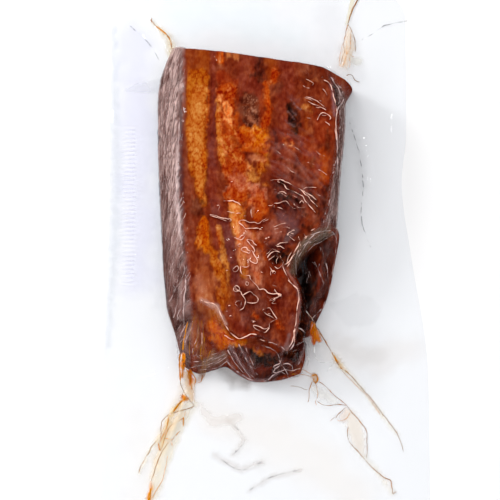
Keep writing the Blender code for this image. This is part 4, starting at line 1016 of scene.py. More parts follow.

# tints of the film where juice and close folds lie, then painted sheens, highlights and shade lines on the
# film over the block: colour, strength, edge softness, route as above
juiceTintsAndPaintedLight = (
    ((236, 206, 130), 0.30, 3.0, ((-53, 114, 0.6), (-46, 107, 1.5), (-44, 101, 2.2), (-43, 97, 2.2))),
    ((255, 216, 140), 0.26, 4.0, ((-36, -57, 1.5), (-38, -64, 1.8), (-43, -73, 2.6), (-47, -82, 2.4),
                                  (-52, -101, 0.6))),
    ((250, 232, 186), 0.24, 3.0, ((-34, -66, 2.4), (-41, -78, 3.0), (-46, -92, 2.6), (-51, -108, 1.6))),
    ((252, 230, 180), 0.26, 2.0, ((-48, -80, 0.8), (-53, -87.5, 0.8), (-57.5, -97, 0.6))),
    ((252, 232, 186), 0.28, 2.0, ((31, -43, 0.8), (43, -57.5, 0.8), (53, -70, 0.6), (60.5, -80, 0.4))),
    ((250, 236, 204), 0.26, 2.4, ((45.5, -90, 0.8), (52, -97.5, 0.8), (58, -106, 0.8))),
    ((246, 214, 170), 0.34, 2.0, ((39.5, 111.5, 0.4), (40, 107.5, 1.9), (40, 102.5, 2.9), (38.5, 97, 2.9),
                                  (37, 91.5, 2.3))),
    ((244, 190, 130), 0.34, 1.5, ((39, 101, 0.6), (38, 96, 1.2), (37, 92.5, 1.2))),
    ((238, 228, 190), 0.40, 0.8, ((42, 126, 1.2), (40.5, 119.5, 0.8), (39, 114, 0.5))),
    ((236, 232, 218), 0.30, 1.5, ((40.5, 95.5, 1.7), (44.5, 95.5, 1.9))),
    ((230, 132, 8), 1.0, 1.0, ((-37, -44.5, 1.2), (-37.5, -49, 1.0), (-38, -53.5, 0.7))),
    ((244, 196, 130), 0.50, 1.2, ((-36, -52, 1.2), (-34.5, -56, 2.1), (-34, -60, 1.4), (-33.5, -64, 0.6))),
    ((214, 110, 8), 1.0, 0.8, ((-34.5, -51, 0.9), (-34, -54.5, 1.0), (-34.5, -56.5, 0.7))),
    ((230, 134, 10), 1.0, 0.8, ((-37.5, -62.5, 0.9), (-36, -63.5, 0.9), (-37, -64, 0.7))),
    ((250, 206, 120), 0.50, 1.0, ((-38.5, -65.5, 0.9), (-41.5, -68.5, 1.1), (-43, -71, 0.9))),
    ((250, 216, 140), 0.45, 1.2, ((-44, -73.5, 1.2), (-45, -76.5, 1.0), (-46.5, -81, 0.7),
                                  (-47.5, -85, 0.5))),
    ((248, 220, 180), 0.40, 1.5, ((-37.5, -70, 0.7), (-41, -74, 1.2), (-42.5, -76.5, 1.0))),
    ((242, 156, 14), 1.0, 0.7, ((-52, -101.5, 0.4), (-52, -104, 0.7), (-53, -108.5, 1.0))),
    ((186, 82, 0), 1.0, 1.0, ((21, -29.5, 0.5), (21.5, -32.5, 1.4), (22.3, -36, 1.8), (22.3, -38.5, 0.6))),
    ((208, 112, 4), 1.0, 0.8, ((22.5, -30, 0.6), (23.5, -34, 1.3), (24.8, -37, 0.9))),
    ((214, 176, 110), 0.60, 1.0, ((31.5, -44, 0.5), (33.5, -47, 1.0), (35, -49, 0.7))),
    ((250, 226, 180), 0.35, 1.0, ((34, -48.5, 0.8), (37, -51, 0.7))),
    ((212, 164, 110), 0.55, 1.0, ((22.5, -53, 1.4), (23, -55, 1.3))),
    ((244, 240, 232), 0.35, 2.5, ((22.5, -59, 1.5), (26.5, -61.5, 2.4), (32, -64.5, 1.2))),
    ((246, 232, 214), 0.40, 2.5, ((39, -70.5, 2.4), (41, -76.5, 3.3), (42.5, -83.5, 3.0), (44, -88, 1.3))),
    ((240, 222, 208), 0.40, 1.5, ((37, -68.5, 1.1), (35.5, -72.5, 1.8))),
    ((176, 124, 88), 0.40, 2.0, ((-23.5, -43, 1.0), (-27.5, -49, 1.2), (-31, -55, 1.0))),
    # painted shade lines along the left wall's top edge and foot, and a painted highlight just below its top
    # edge
    ((84, 60, 64), 0.45, 1.6, ((-37, 62, 0.3), (-37.3, 45, 0.8), (-37.4, 32, 1.0), (-36.4, 18, 0.5))),
    ((226, 200, 198), 0.40, 1.4, ((-38.5, 48, 0.4), (-39.2, 32, 1.1), (-38.6, 17, 1.0), (-37.2, 6, 0.6))),
    ((92, 88, 98), 0.55, 0.7, ((-49.8, 76, 0.2), (-50.2, 60, 0.3), (-49.3, 34, 0.3), (-47, -4, 0.3),
                               (-44, -24, 0.2))),
    # painted sheens and highlights on the film over the top, the lobe, the flap and the front end's folds
    ((235, 190, 175), 0.38, 1.5, ((-28, -21, 0.8), (-25, -22.5, 1), (-21.5, -24, 1), (-19.5, -27.5, 0.7),
                                  (-17.5, -31.5, 0.4))),
    ((215, 140, 115), 0.18, 4.0, ((-29.5, -12, 1.7), (-28, -17.5, 1.7))),
    ((205, 150, 140), 0.26, 1.2, ((7, -6.5, 0.3), (11.5, -12, 0.4), (14, -17.5, 0.6), (14.5, -23, 0.6),
                                  (13.5, -30, 0.5), (12, -37.5, 0.4), (9, -43, 0.4))),
    ((150, 95, 85), 0.25, 3.0, ((11.5, -28.5, 1.1), (10.5, -35.5, 1.1))),
    ((165, 110, 110), 0.22, 3.0, ((7, 15, 2.2), (11.5, 11.5, 2.2))),
    ((170, 130, 134), 0.35, 1.2, ((28.8, 74, 0.6), (29.6, 68, 0.6), (30.2, 60, 0.5))),
    ((120, 60, 50), 0.35, 3.0, ((-14, -43, 0.8), (-9, -50, 1.0), (-4, -53, 0.8))),
    ((150, 130, 112), 0.34, 1.8, ((28, 10.5, 1.6), (21, 6.5, 1.8), (16, 2, 1.8), (13, -4, 1.6),
                                  (12, -9, 1.2))),
    ((150, 120, 118), 0.24, 1.6, ((9, 5, 1.2), (11, 8, 1.6), (13, 9, 1.2))),
    ((150, 122, 126), 0.32, 1.0, ((-16, -40.5, 0.5), (-12, -47, 0.7), (-6.5, -54, 0.5))),
    ((150, 122, 126), 0.28, 1.0, ((-12, -40, 0.4), (-8.5, -46, 0.6), (-5, -53, 0.4))),
    ((168, 140, 142), 0.30, 0.9, ((-17, -46.5, 0.4), (-12.5, -52, 0.6), (-6.5, -55, 0.6), (0.5, -55, 0.6),
                                  (7, -51.5, 0.4))),
    ((160, 124, 120), 0.32, 1.2, ((10, -36, 0.6), (8.5, -41.5, 0.9), (6.5, -44.5, 0.5))),
    ((160, 128, 126), 0.36, 1.2, ((18.5, -38, 0.7), (16.5, -43.5, 0.9), (14.5, -48, 0.5))),
    ((146, 124, 116), 0.30, 1.5, ((-31.5, -49, 0.8), (-25, -46.5, 1.3), (-18.5, -43.5, 1.1))),
    ((146, 124, 116), 0.24, 1.5, ((-30, -50.5, 0.6), (-24, -49, 0.9), (-17.5, -46, 0.6))),
)


def ripples(x, y):  # a ladder of small ripples down the left margin
    share = smooth(1.6 - np.abs(x + 63.5) / 2.6) * smooth((66 - y) / 5) * smooth((y + 14) / 6)
    return film["rippleHeight"] * share * np.sin(2 * math.pi * y / film["ripple"])


def veilOver(tones, x, y, colour, share):  # lays one veil over another
    for tone, strength, edge, path in tones:
        aside, _, width = nearest(x, y, path)
        ragged = 0.3 * edge * fractal(x, y, max(2.5, edge), 91, 2)
        here = strength * smooth(0.5 + (width - aside + ragged) / edge)
        colour = towards(colour, linear(tone), here / np.maximum(share * (1 - here) + here, 1e-6))
        share = share + here * (1 - share)
    return colour, share


def filmTint(x, y, z, sheenAndTint):
    onBlock = smooth((z - 3) / 5) * smooth((blockHeight(x, y) - 0.5) / 2)
    colour = np.ones(x.shape + (3,)) * np.array(film["roomReflection"])
    colour, share = veilOver(paintedMarginLight, x, y, colour, film["roomReflectionShare"] * np.ones(x.shape))
    # over the block the veil takes the pinkish colour of the painted sheen
    colour = towards(colour, np.array(film["veil"]), onBlock)
    # the ripple ladder adds painted stripes of light and shade to the flat film
    share = (share + ripples(x, y)) * (1 - onBlock)
    share = share + sheenAndTint * (1 - share)
    return veilOver(juiceTintsAndPaintedLight, x, y, colour, share)


# how far each kind of wrinkle moves the film, where three of them lie, and the painted sheen that they carry
wrinkles = {
    "leftWall": 0.9, "rightWall": 0.7, "fan": 0.5, "slats": 0.34, "end": 0.5, "flap": 0.5, "pimples": 0.34,
    "overMeat": 0.05, "flat": 0.16, "crumple": 0.9,
    "fanZone": ((11, 44), (17, 28)), "slatZone": ((17, 74), (26, 62)), "pimpleZone": ((-7, 12), (-4, -24)),
    "fanSheen": 0.08, "endSheen": 0.05, "flapSheen": 0.06, "mostSheen": 0.8, "matt": 0.6,
}

# where the film is crumpled beside a corner of the block: centre and reach
crumples = ((38, 92, 15), (-36, -52, 16), (24, -50, 22), (-44, 100, 11))


def filmDetail(x, y, z):  # fine wrinkles, moved along the film's own normal, and the painted sheen they carry
    f, w = form, wrinkles
    low = smooth((z - 2) / 4)
    onBlock = smooth((blockHeight(x, y) - 1) / 3)
    leftTop, rightTop = along(f["leftTop"], y), along(f["rightTop"], y)
    onLeft = smooth((leftTop + 0.6 - x) / 1.4) * low * onBlock
    onRight = smooth((x - rightTop - 0.5) / 1.6) * low * smooth((y - 6) / 8) * onBlock
    onEnd = smooth((along(f["frontRidge"], x) - 1.5 - y) / 3) * low * onBlock
    ribs, ribsRight = sideRibs(y, z), endRibs(y, z)
    part = np.clip((leftTop - x) / (leftTop - along(f["leftBase"], y)), 0, 1)  # way down the left wall
    a, b = turned(x, y, -33)
    fan = ridged(a / 13, (b + 0.6 * lattice(a / 5, b / 5, 78)) / 3.0, 79) ** 3
    fan = fan * smooth((15 - nearest(x, y, w["fanZone"])[0]) / 9)
    a, b = turned(x, y, -24)
    slats = ridged(a / 9, b / 2.6, 80) ** 3 * smooth((9 - nearest(x, y, w["slatZone"])[0]) / 5)
    hang = x - 0.35 * (y + 44) * smooth((x + 20) / 30) + 1.2 * lattice(x / 5, y / 9, 82)
    down = y - 0.6 * z
    pleated = ridged(hang / 3.4, down / 24, 81) ** 2 + 0.5 * ridged(hang / 1.7, down / 12, 84) ** 2
    flapAside, _, _ = nearest(x, y, f["flapPath"])
    onFlap = smooth((9 - flapAside) / 3) * low * smooth((12 - y) / 4) * smooth((x - rightTop - 1) / 2)
    a, b = turned(x, y, 68)
    flapFolds = ridged(a / 13, b / 3.2, 86) ** 2
    pimples = ridged(x / 3.4, y / 4.2, 88) ** 4 * smooth((16 - nearest(x, y, w["pimpleZone"])[0]) / 8)
    detail = (w["leftWall"] * onLeft * (ribs - 0.3) + w["rightWall"] * onRight * (ribsRight - 0.3)
              + (w["fan"] * fan + w["slats"] * slats + w["pimples"] * pimples) * low
              + w["end"] * onEnd * pleated + w["flap"] * onFlap * flapFolds
              + w["overMeat"] * low * fractal(x, y, 6, 83, 2)
              + w["flat"] * (1 - low) * fractal(x, y, 13, 85, 3))
    seal = smooth((np.abs(y) - film["halfLength"] + film["sealBand"]) / 1.0)
    detail = detail + ripples(x, y) * (1 - low)
    detail = detail + film["sealRibHeight"] * seal * np.sin(2 * math.pi * y / film["sealRib"])
    facets = ridged(x / 5.5, y / 5.5, 89) ** 1.5 + 0.5 * ridged(x / 2.6 + 3, y / 2.6, 90) ** 1.5
    for x0, y0, reach in crumples:
        crumple = smooth(1.3 - np.hypot(x - x0, y - y0) / reach)
        detail = detail + w["crumple"] * crumple * facets * (1 - onBlock) * smooth((z - 0.6) / 1.5)
    upper = smooth((y + 40) / 110)  # the painted sheen on the wall is stronger towards the back
    # painted sheen on the walls: a pale veil near each wall's top and on the crests of its folds
    wallSheen = (0.03 + 0.29 * upper) * (1 - 0.8 * smooth((part - 0.35) / 0.4)) * smooth((part - 0.08) / 0.20)
    leftSheen = onLeft * (wallSheen + (0.12 + 0.28 * upper) * ribs ** 1.5)
    rightSheen = onRight * (0.04 + 0.32 * ribsRight ** 1.5) * smooth((80 - y) / 8)
    sheenAndTint = (leftSheen + rightSheen + w["fanSheen"] * fan * low + w["endSheen"] * onEnd * pleated
            + w["flapSheen"] * onFlap * flapFolds)
    matt = np.clip(np.maximum(np.maximum(onLeft, onRight), np.maximum(onEnd, onFlap)), 0, 1)
    return detail, np.clip(sheenAndTint, 0, w["mostSheen"]), 1 - w["matt"] * matt, np.clip(onLeft + onRight, 0, 1)


def clearFilm(name, tint):  # clear film with a little shine, under a diffuse veil as strong as the share the mesh carries: the veil is painted reflection, sheen and shade, and the tint of juice
    tree, material = newMaterial(name)
    out = addNode(tree, "OutputMaterial")
    clear = addNode(tree, "BsdfTransparent", {"Color": tint})
    shine = addNode(tree, "BsdfGlossy", {"Roughness": film["roughness"], "Color": (1, 1, 1, 1)})
    facing = addNode(tree, "Fresnel", {"IOR": 1.35})
    most = addNode(tree, "Math", {1: film["mostShine"]}, operation="MINIMUM")
    gloss, onWall, sheenAndTint = carried(tree, "gloss"), carried(tree, "streak"), carried(tree, "sheenAndTint")
    both = addNode(tree, "Math", operation="MULTIPLY")
    skin, whole = addNode(tree, "MixShader"), addNode(tree, "MixShader")
    turn = addNode(tree, "Mapping", {"Rotation": (math.radians(24), 0, 0), "Scale": (0.0028, 0.0110, 0.0010)},
                   vector_type="TEXTURE")
    streak = addNode(tree, "TexNoise", {"Scale": 1.0, "Detail": 3})  # fine streaks in the painted sheen that run down the walls
    level = ranged(tree, 0.36, 0.64, -0.75, 0.75)
    spread = addNode(tree, "Math", {2: 1.0}, operation="MULTIPLY_ADD")
    veilAmount = addNode(tree, "Math", operation="MULTIPLY")
    veil = addNode(tree, "BsdfDiffuse")
    veilColour = addNode(tree, "VertexColor", layer_name="veil")
    where = addNode(tree, "TexCoord")
    fine = addNode(tree, "TexNoise", {"Scale": 330, "Detail": 3})
    bump = addNode(tree, "Bump", {"Strength": 0.10, "Distance": 0.0005})
    wire(tree, (where, "Object", fine, "Vector"), (fine, "Fac", bump, "Height"), (bump, 0, shine, "Normal"),
         (bump, 0, facing, "Normal"), (facing, 0, most, 0), (most, 0, both, 0), (gloss, "Fac", both, 1),
         (both, 0, skin, "Fac"), (clear, 0, skin, 1), (shine, 0, skin, 2), (where, "Object", turn, "Vector"),
         (turn, 0, streak, "Vector"), (streak, "Fac", level, "Value"), (level, 0, spread, 0),
         (onWall, "Fac", spread, 1), (spread, 0, veilAmount, 0), (sheenAndTint, "Fac", veilAmount, 1), (veilAmount, 0, whole, "Fac"),
         (skin, 0, whole, 1), (veilColour, "Color", veil, "Color"), (veil, 0, whole, 2),
         (whole, 0, out, "Surface"))
    return material


def sheetNormals(x, y, z):
    down = [np.gradient(a, axis=0) for a in (x, y, z)]
    across = [np.gradient(a, axis=1) for a in (x, y, z)]
    n = np.cross(np.stack(across, -1), np.stack(down, -1))
    return n / np.linalg.norm(n, axis=-1, keepdims=True)


def drawnIn(x, y):  # x kept inside the pouch, with the two back corners drawn in
    drawn = np.maximum(0, y - (film["halfLength"] - film["corner"])) / film["corner"]
    return np.clip(x, -film["halfWidth"], film["halfWidth"]) * (1 - film["cornerDraw"] * drawn ** 2)


def dressFilm(name, mesh, material, used, sheenAndTint, gloss, streak, veil):
    for label, values in (("sheenAndTint", sheenAndTint), ("gloss", gloss), ("streak", streak)):
        setField(mesh, label, values.ravel()[used])
    setColour(mesh, "veil", veil.reshape(-1, 3)[used])
    piece = newPiece(name, mesh, material)
    print(name, "made,", len(mesh.polygons), "faces")
    return piece


def filmPiece(name, columns, rows, hole, material):
    c, r, x, y = plan(columns, rows, filmStops, (-75.0, -46.0, -36.0, 22.0, 34.0, 75.0))
    x = drawnIn(x, y)
    z = drape(x, y, bellyColour(x, y, np.zeros(x.shape))[1])
    detail, sheenAndTint, gloss, streak = filmDetail(x, y, z)
    # the two pieces meet along the block's foot, where neither moves
    inside = np.minimum(np.minimum(c - 1, 4 - c) * 10, np.minimum(r - 1, 5 - r) * 8)
    detail = (detail + film["gap"] * smooth(z / 3)) * smooth(np.abs(inside) / 2)
    if hole:
        edge = np.minimum(np.minimum(c, 5 - c), np.minimum(r, 6 - r))
        detail = detail * smooth(edge * 8)
    n = sheetNormals(x, y, z)
    gloss = gloss * np.clip(smooth((np.abs(n[..., 2]) - 0.35) / 0.5), 0.04, 1)  # steep film mirrors little
    x, y, z = x + n[..., 0] * detail, y + n[..., 1] * detail, z + n[..., 2] * detail
    x, z = np.clip(x, -film["halfWidth"], film["halfWidth"]), np.maximum(z, film["lowest"])
    keep = None
    if hole:
        c, r = c[:-1, :-1], r[:-1, :-1]
        keep = ~((c > 0.999) & (c < 3.999) & (r > 0.999) & (r < 4.999))
    mesh, used = gridMesh(name, x, y, z, keep)
    colour, sheenAndTint = filmTint(x, y, z, sheenAndTint)
    return dressFilm(name, mesh, material, used, np.clip(sheenAndTint, 0, 0.97), gloss, streak, colour)


def makeBack(material):  # the lower sheet lies on the floor, sealed to the upper one all round
    c, r = np.meshgrid(np.linspace(0, 1, 61), np.linspace(0, 1, 91))
    y = -film["halfLength"] + 2 * film["halfLength"] * r
    x = drawnIn(along(film["left"], y) + (along(film["right"], y) - along(film["left"], y)) * c, y)
    z = film["under"] + 0.03 * np.clip(fractal(x, y, 20, 95), -1, 1)
    mesh, used = gridMesh("pouchBack", x, y, z)
    bare, white = np.zeros(x.shape), np.ones(x.shape + (3,))
    dressFilm("pouchBack", mesh, material, used, bare, bare + film["backGloss"], bare, white)


columns = gridLines(film["wrapColumns"], (toFoot, even, fromFoot), 1)
rows = gridLines(film["wrapRows"], (toFoot, even, even, fromFoot), 1)
wrap = filmPiece("filmOverBelly", columns, rows, False, clearFilm("wrappedFilm", (0.99, 0.985, 0.985, 1)))
columns = gridLines(film["marginColumns"], (toBlock, toFoot, even, fromFoot, fromBlock))
rows = gridLines(film["marginRows"], (toBlock, toFoot, even, even, fromFoot, fromBlock))
margin = filmPiece("filmMargins", columns, rows, True, clearFilm("flatFilm", (0.992, 0.995, 1.0, 1)))
makeBack(clearFilm("backFilm", (0.997, 0.998, 1.0, 1)))

# ---- pleats: thin standing creases of the film, coloured pale as painted highlights

# long creases of the flat film, drawn as grey lines of painted shade
creaseLines = (
    (0.11, ((-64, 113), (-54.5, 103.5), (-49.5, 95))),
    (0.12, ((46, 106), (52, 109.5), (57, 113), (68, 115.5))),
    (0.10, ((-17, -73), (-9.5, -82), (-15, -89))),
    (0.11, ((-23, -89), (-11.5, -95.5), (-1.5, -92))),
    (0.10, ((-7, -104.5), (2, -99), (16, -95.5))),
    (0.11, ((40, 66), (44, 52), (46, 36), (45, 20), (50, 4))),
)


def smoothRoute(route, step):  # a curve through the points, in even steps
    p = np.array(route, float)
    t = np.concatenate([[0], np.cumsum(np.hypot(*np.diff(p, axis=0).T))])
    fine = np.linspace(0, t[-1], max(int(t[-1] / step), 4) + 1)
    return np.stack([along(list(zip(t, p[:, k])), fine) for k in range(p.shape[1])], -1), t[-1]


def filmTrees(*pieces):  # for finding the film's height
    return [BVHTree.FromPolygons([v.co for v in p.data.vertices], [f.vertices for f in p.data.polygons])
            for p in pieces]


def heightOnFilm(trees, x, y):
    hits = [tree.ray_cast(Vector((x * mm, y * mm, 0.1)), Vector((0, 0, -1)))[0] for tree in trees]
    return max([hit.z / mm for hit in hits if hit is not None], default=0.1)


def unsteady(random, reach, step, extra):  # a wavering value along a strand, about 0
    knots = np.arange(0, reach[-1] + extra, step)
    return np.interp(reach, knots, random.normal(size=len(knots)))


def threadMesh(name, trees, strands, sides, step, lift, wander, vary, seed):
    # strands: (half width at start, half width at end, tone, route); returns one mesh of tapered tubes
    spots, faces, tones = [], [], []
    random = np.random.default_rng(seed)
    turns = [2 * math.pi * k / sides for k in range(sides)]
    for first, last, tone, route in strands:
        line, length = smoothRoute(route, step)
        u = np.linspace(0, 1, len(line))
        drift = [unsteady(random, u * length, 1.3, 3) for _ in range(2)]
        line = line + wander * np.stack(drift, -1) * np.minimum(1, 6 * np.minimum(u, 1 - u))[:, None]
        z = np.array([heightOnFilm(trees, x, y) for x, y in line])
        z = np.convolve(np.pad(z, 2, mode="edge"), np.ones(5) / 5, "valid")
        taper = np.clip(np.minimum(u, 1 - u) * length / (3 * max(first, last)), 0, 1) ** 0.6
        uneven = vary * unsteady(random, u * length, 1.4, 2)
        radius = (first + (last - first) * u) * (0.18 + 0.82 * taper) * np.clip(1 + uneven, 0.3, 1.8)
        centre = np.stack([line[:, 0], line[:, 1], z + lift * radius], -1)
        ahead = np.gradient(centre, axis=0)
        ahead /= np.linalg.norm(ahead, axis=1, keepdims=True)
        side = np.cross(ahead, (0, 0, 1.0))
        side /= np.maximum(np.linalg.norm(side, axis=1, keepdims=True), 1e-6)
        up = 0.75 * np.cross(side, ahead)  # the tubes are a little flat
        rings = [centre + (side * math.cos(a) + up * math.sin(a)) * radius[:, None] for a in turns]
        offset = len(spots)
        spots.extend(np.stack(rings, 1).reshape(-1, 3).tolist())
        tones.extend(np.repeat(np.clip(tone + 0.5 * vary * uneven / 0.3, 0, 1), sides).tolist())
        for i in range(len(line) - 1):
            for k in range(sides):
                a, b = offset + i * sides + k, offset + i * sides + (k + 1) % sides
                faces.append((a, b, b + sides, a + sides))
        faces.append(tuple(offset + k for k in reversed(range(sides))))
        faces.append(tuple(offset + (len(line) - 1) * sides + k for k in range(sides)))
    mesh = bpy.data.meshes.new(name)
    mesh.from_pydata((np.array(spots) * mm).tolist(), [], faces)
    setField(mesh, "tone", tones)
    return mesh


def pleatMaterial():
    tree, material = newMaterial("filmPleat")
    out, shader = addNode(tree, "OutputMaterial"), addNode(tree, "BsdfPrincipled", {"Roughness": 0.22})
    tone, paint = carried(tree, "tone"), addNode(tree, "VertexColor", layer_name="paint")
    # the vertex paint gives the pleats their painted highlight, and tone how strongly it shows
    wire(tree, (tone, "Fac", shader, "Alpha"), (paint, "Color", shader, "Base Color"),
         (shader, 0, out, "Surface"))
    return material


# fine short creases, drawn as painted highlights: count, centre, half extent, direction and its scatter,
# length, half width
wispZones = (
    (16, (15, 30), (9, 15), -33, 10, (2.5, 7.0), 0.12),
    (10, (22, 68), (7, 9), -24, 10, (2.0, 5.0), 0.11),
    (16, (-6, -4), (7, 22), 60, 60, (0.6, 1.6), 0.10),
    (8, (6, -14), (6, 12), -50, 25, (1.5, 4.0), 0.10),
    (6, (-16, 16), (8, 5), 5, 25, (1.2, 3.5), 0.09),
    (6, (24, -6), (4, 12), -68, 14, (3.0, 8.0), 0.11),
    (6, (12, -44), (4, 4), 60, 25, (2.0, 4.0), 0.10),
    (6, (-29, -40), (3, 6), 84, 10, (4.0, 9.0), 0.10),
)

# standing ridges of the film down the walls, drawn mostly in the painted sheen: count, range of y, least and
# most length, least and most lean
wallRidges = {
    "left": (170, (-44, 86), (3.5, 11.0), (0.10, 0.62)), "right": (46, (12, 72), (3.0, 8.0), (0.10, 0.30)),
    "width": (0.07, 0.13), "strength": (0.08, 0.36),
}


def wisps():
    random = np.random.default_rng(8)
    strands = []
    for count, centre, reach, direction, scatter, lengths, width in wispZones:
        for _ in range(count):
            x0, y0 = np.array(centre) + np.array(reach) * np.clip(random.normal(size=2) * 0.6, -1.1, 1.1)
            angle = math.radians(direction + scatter * random.normal())
            half = random.uniform(*lengths) / 2
            bow = 0.25 * half * random.normal()
            dx, dy = math.cos(angle), math.sin(angle)
            ways = [(k * half, bow * (1 - k * k)) for k in (-1, -0.4, 0.3, 1)]
            route = [(x0 + ahead * dx - aside * dy, y0 + ahead * dy + aside * dx) for ahead, aside in ways]
            thin = width * random.uniform(0.6, 1.3)
            strands.append((thin, thin * 0.7, random.uniform(0.08, 0.35), route))
    return strands


def ridges():
    random = np.random.default_rng(21)
    strands = []
    for side, edge, foot in (("left", "leftTop", "leftBase"), ("right", "rightTop", "rightBase")):
        count, reach, lengths, leans = wallRidges[side]
        for _ in range(count):
            y0, length = random.uniform(*reach), random.uniform(*lengths)
            lower = float(smooth((46 - y0) / 50))      # the ridges lean more towards the front
            lean = leans[0] + (leans[1] - leans[0]) * lower + 0.10 * random.normal()
            top, base = float(along(form[edge], y0)), float(along(form[foot], y0))
            x0 = base + (top - base) * random.uniform(0.05, 0.85)
            route = [(x0 + lean * length * k + 0.25 * length * 0.2 * random.normal(), y0 + length * k)
                     for k in (0, 0.35, 0.7, 1)]
            route = [(x, y) for x, y in route if (top - x) * (x - base) > 0.2]
            thin, faint = random.uniform(*wallRidges["width"]), random.uniform(*wallRidges["strength"])
            if len(route) > 2:
                strands.append((thin, thin * 0.6, faint, route))
    return strands


# painted colours of the pleats: a pale highlight over the meat's top, a pale sheen over its walls and a grey
# shade off it; the folds by the knot are painted white as a glint
pleatHighlightAndShade = ((255, 204, 184), (212, 180, 176), (150, 150, 156))
knotGlintRoute = ((24, -38.5), (24.5, -46), (29, -49))


def makePleats(trees):
    strands = [(0.8 * width, 0.65 * width, 0.80, route) for width, route in pleats]
    strands += [(width, width * 0.7, strength, route) for width, strength, route in softFolds]
    strands += [(0.26, 0.24, 0.9, ((x - 0.4, y - 0.1), (x, y + 0.1), (x + 0.5, y + 0.1))) for x, y in bubbleGlints]
    strands += [(width, width * 0.7, 0.14, route) for width, route in creaseLines]
    strands += wisps() + ridges()
    mesh = threadMesh("filmPleats", trees, strands, sides=6, step=0.4, lift=0.1, wander=0.08, vary=0.5,
                      seed=3)
    p = points(mesh)
    onBelly = smooth((p[:, 2] - 2) / 3)[:, None]
    beside = np.maximum(along(form["leftTop"], p[:, 1]) - p[:, 0], p[:, 0] - along(form["rightTop"], p[:, 1]))
    onWall = np.maximum(smooth((beside - 0.2) / 0.8), smooth((-38 - p[:, 1]) / 3))[:, None]
    # pale painted highlight over the meat's top, painted sheen over its walls, grey painted shade off the
    # block
    overMeat, overWall, offMeat = (linear(tone) for tone in pleatHighlightAndShade)
    paint = (overMeat + (overWall - overMeat) * onWall) * onBelly + offMeat * (1 - onBelly)
    # the folds beside the knot are painted white as a glint
    aside, _, _ = nearest(p[:, 0], p[:, 1], knotGlintRoute)
    setColour(mesh, "paint", towards(paint, 1, smooth((7 - aside) / 2)))
    piece = newPiece("filmPleats", mesh, pleatMaterial())
    print("pleats made,", len(mesh.polygons), "faces")


# ---- juice drawn out along the folds at the corners

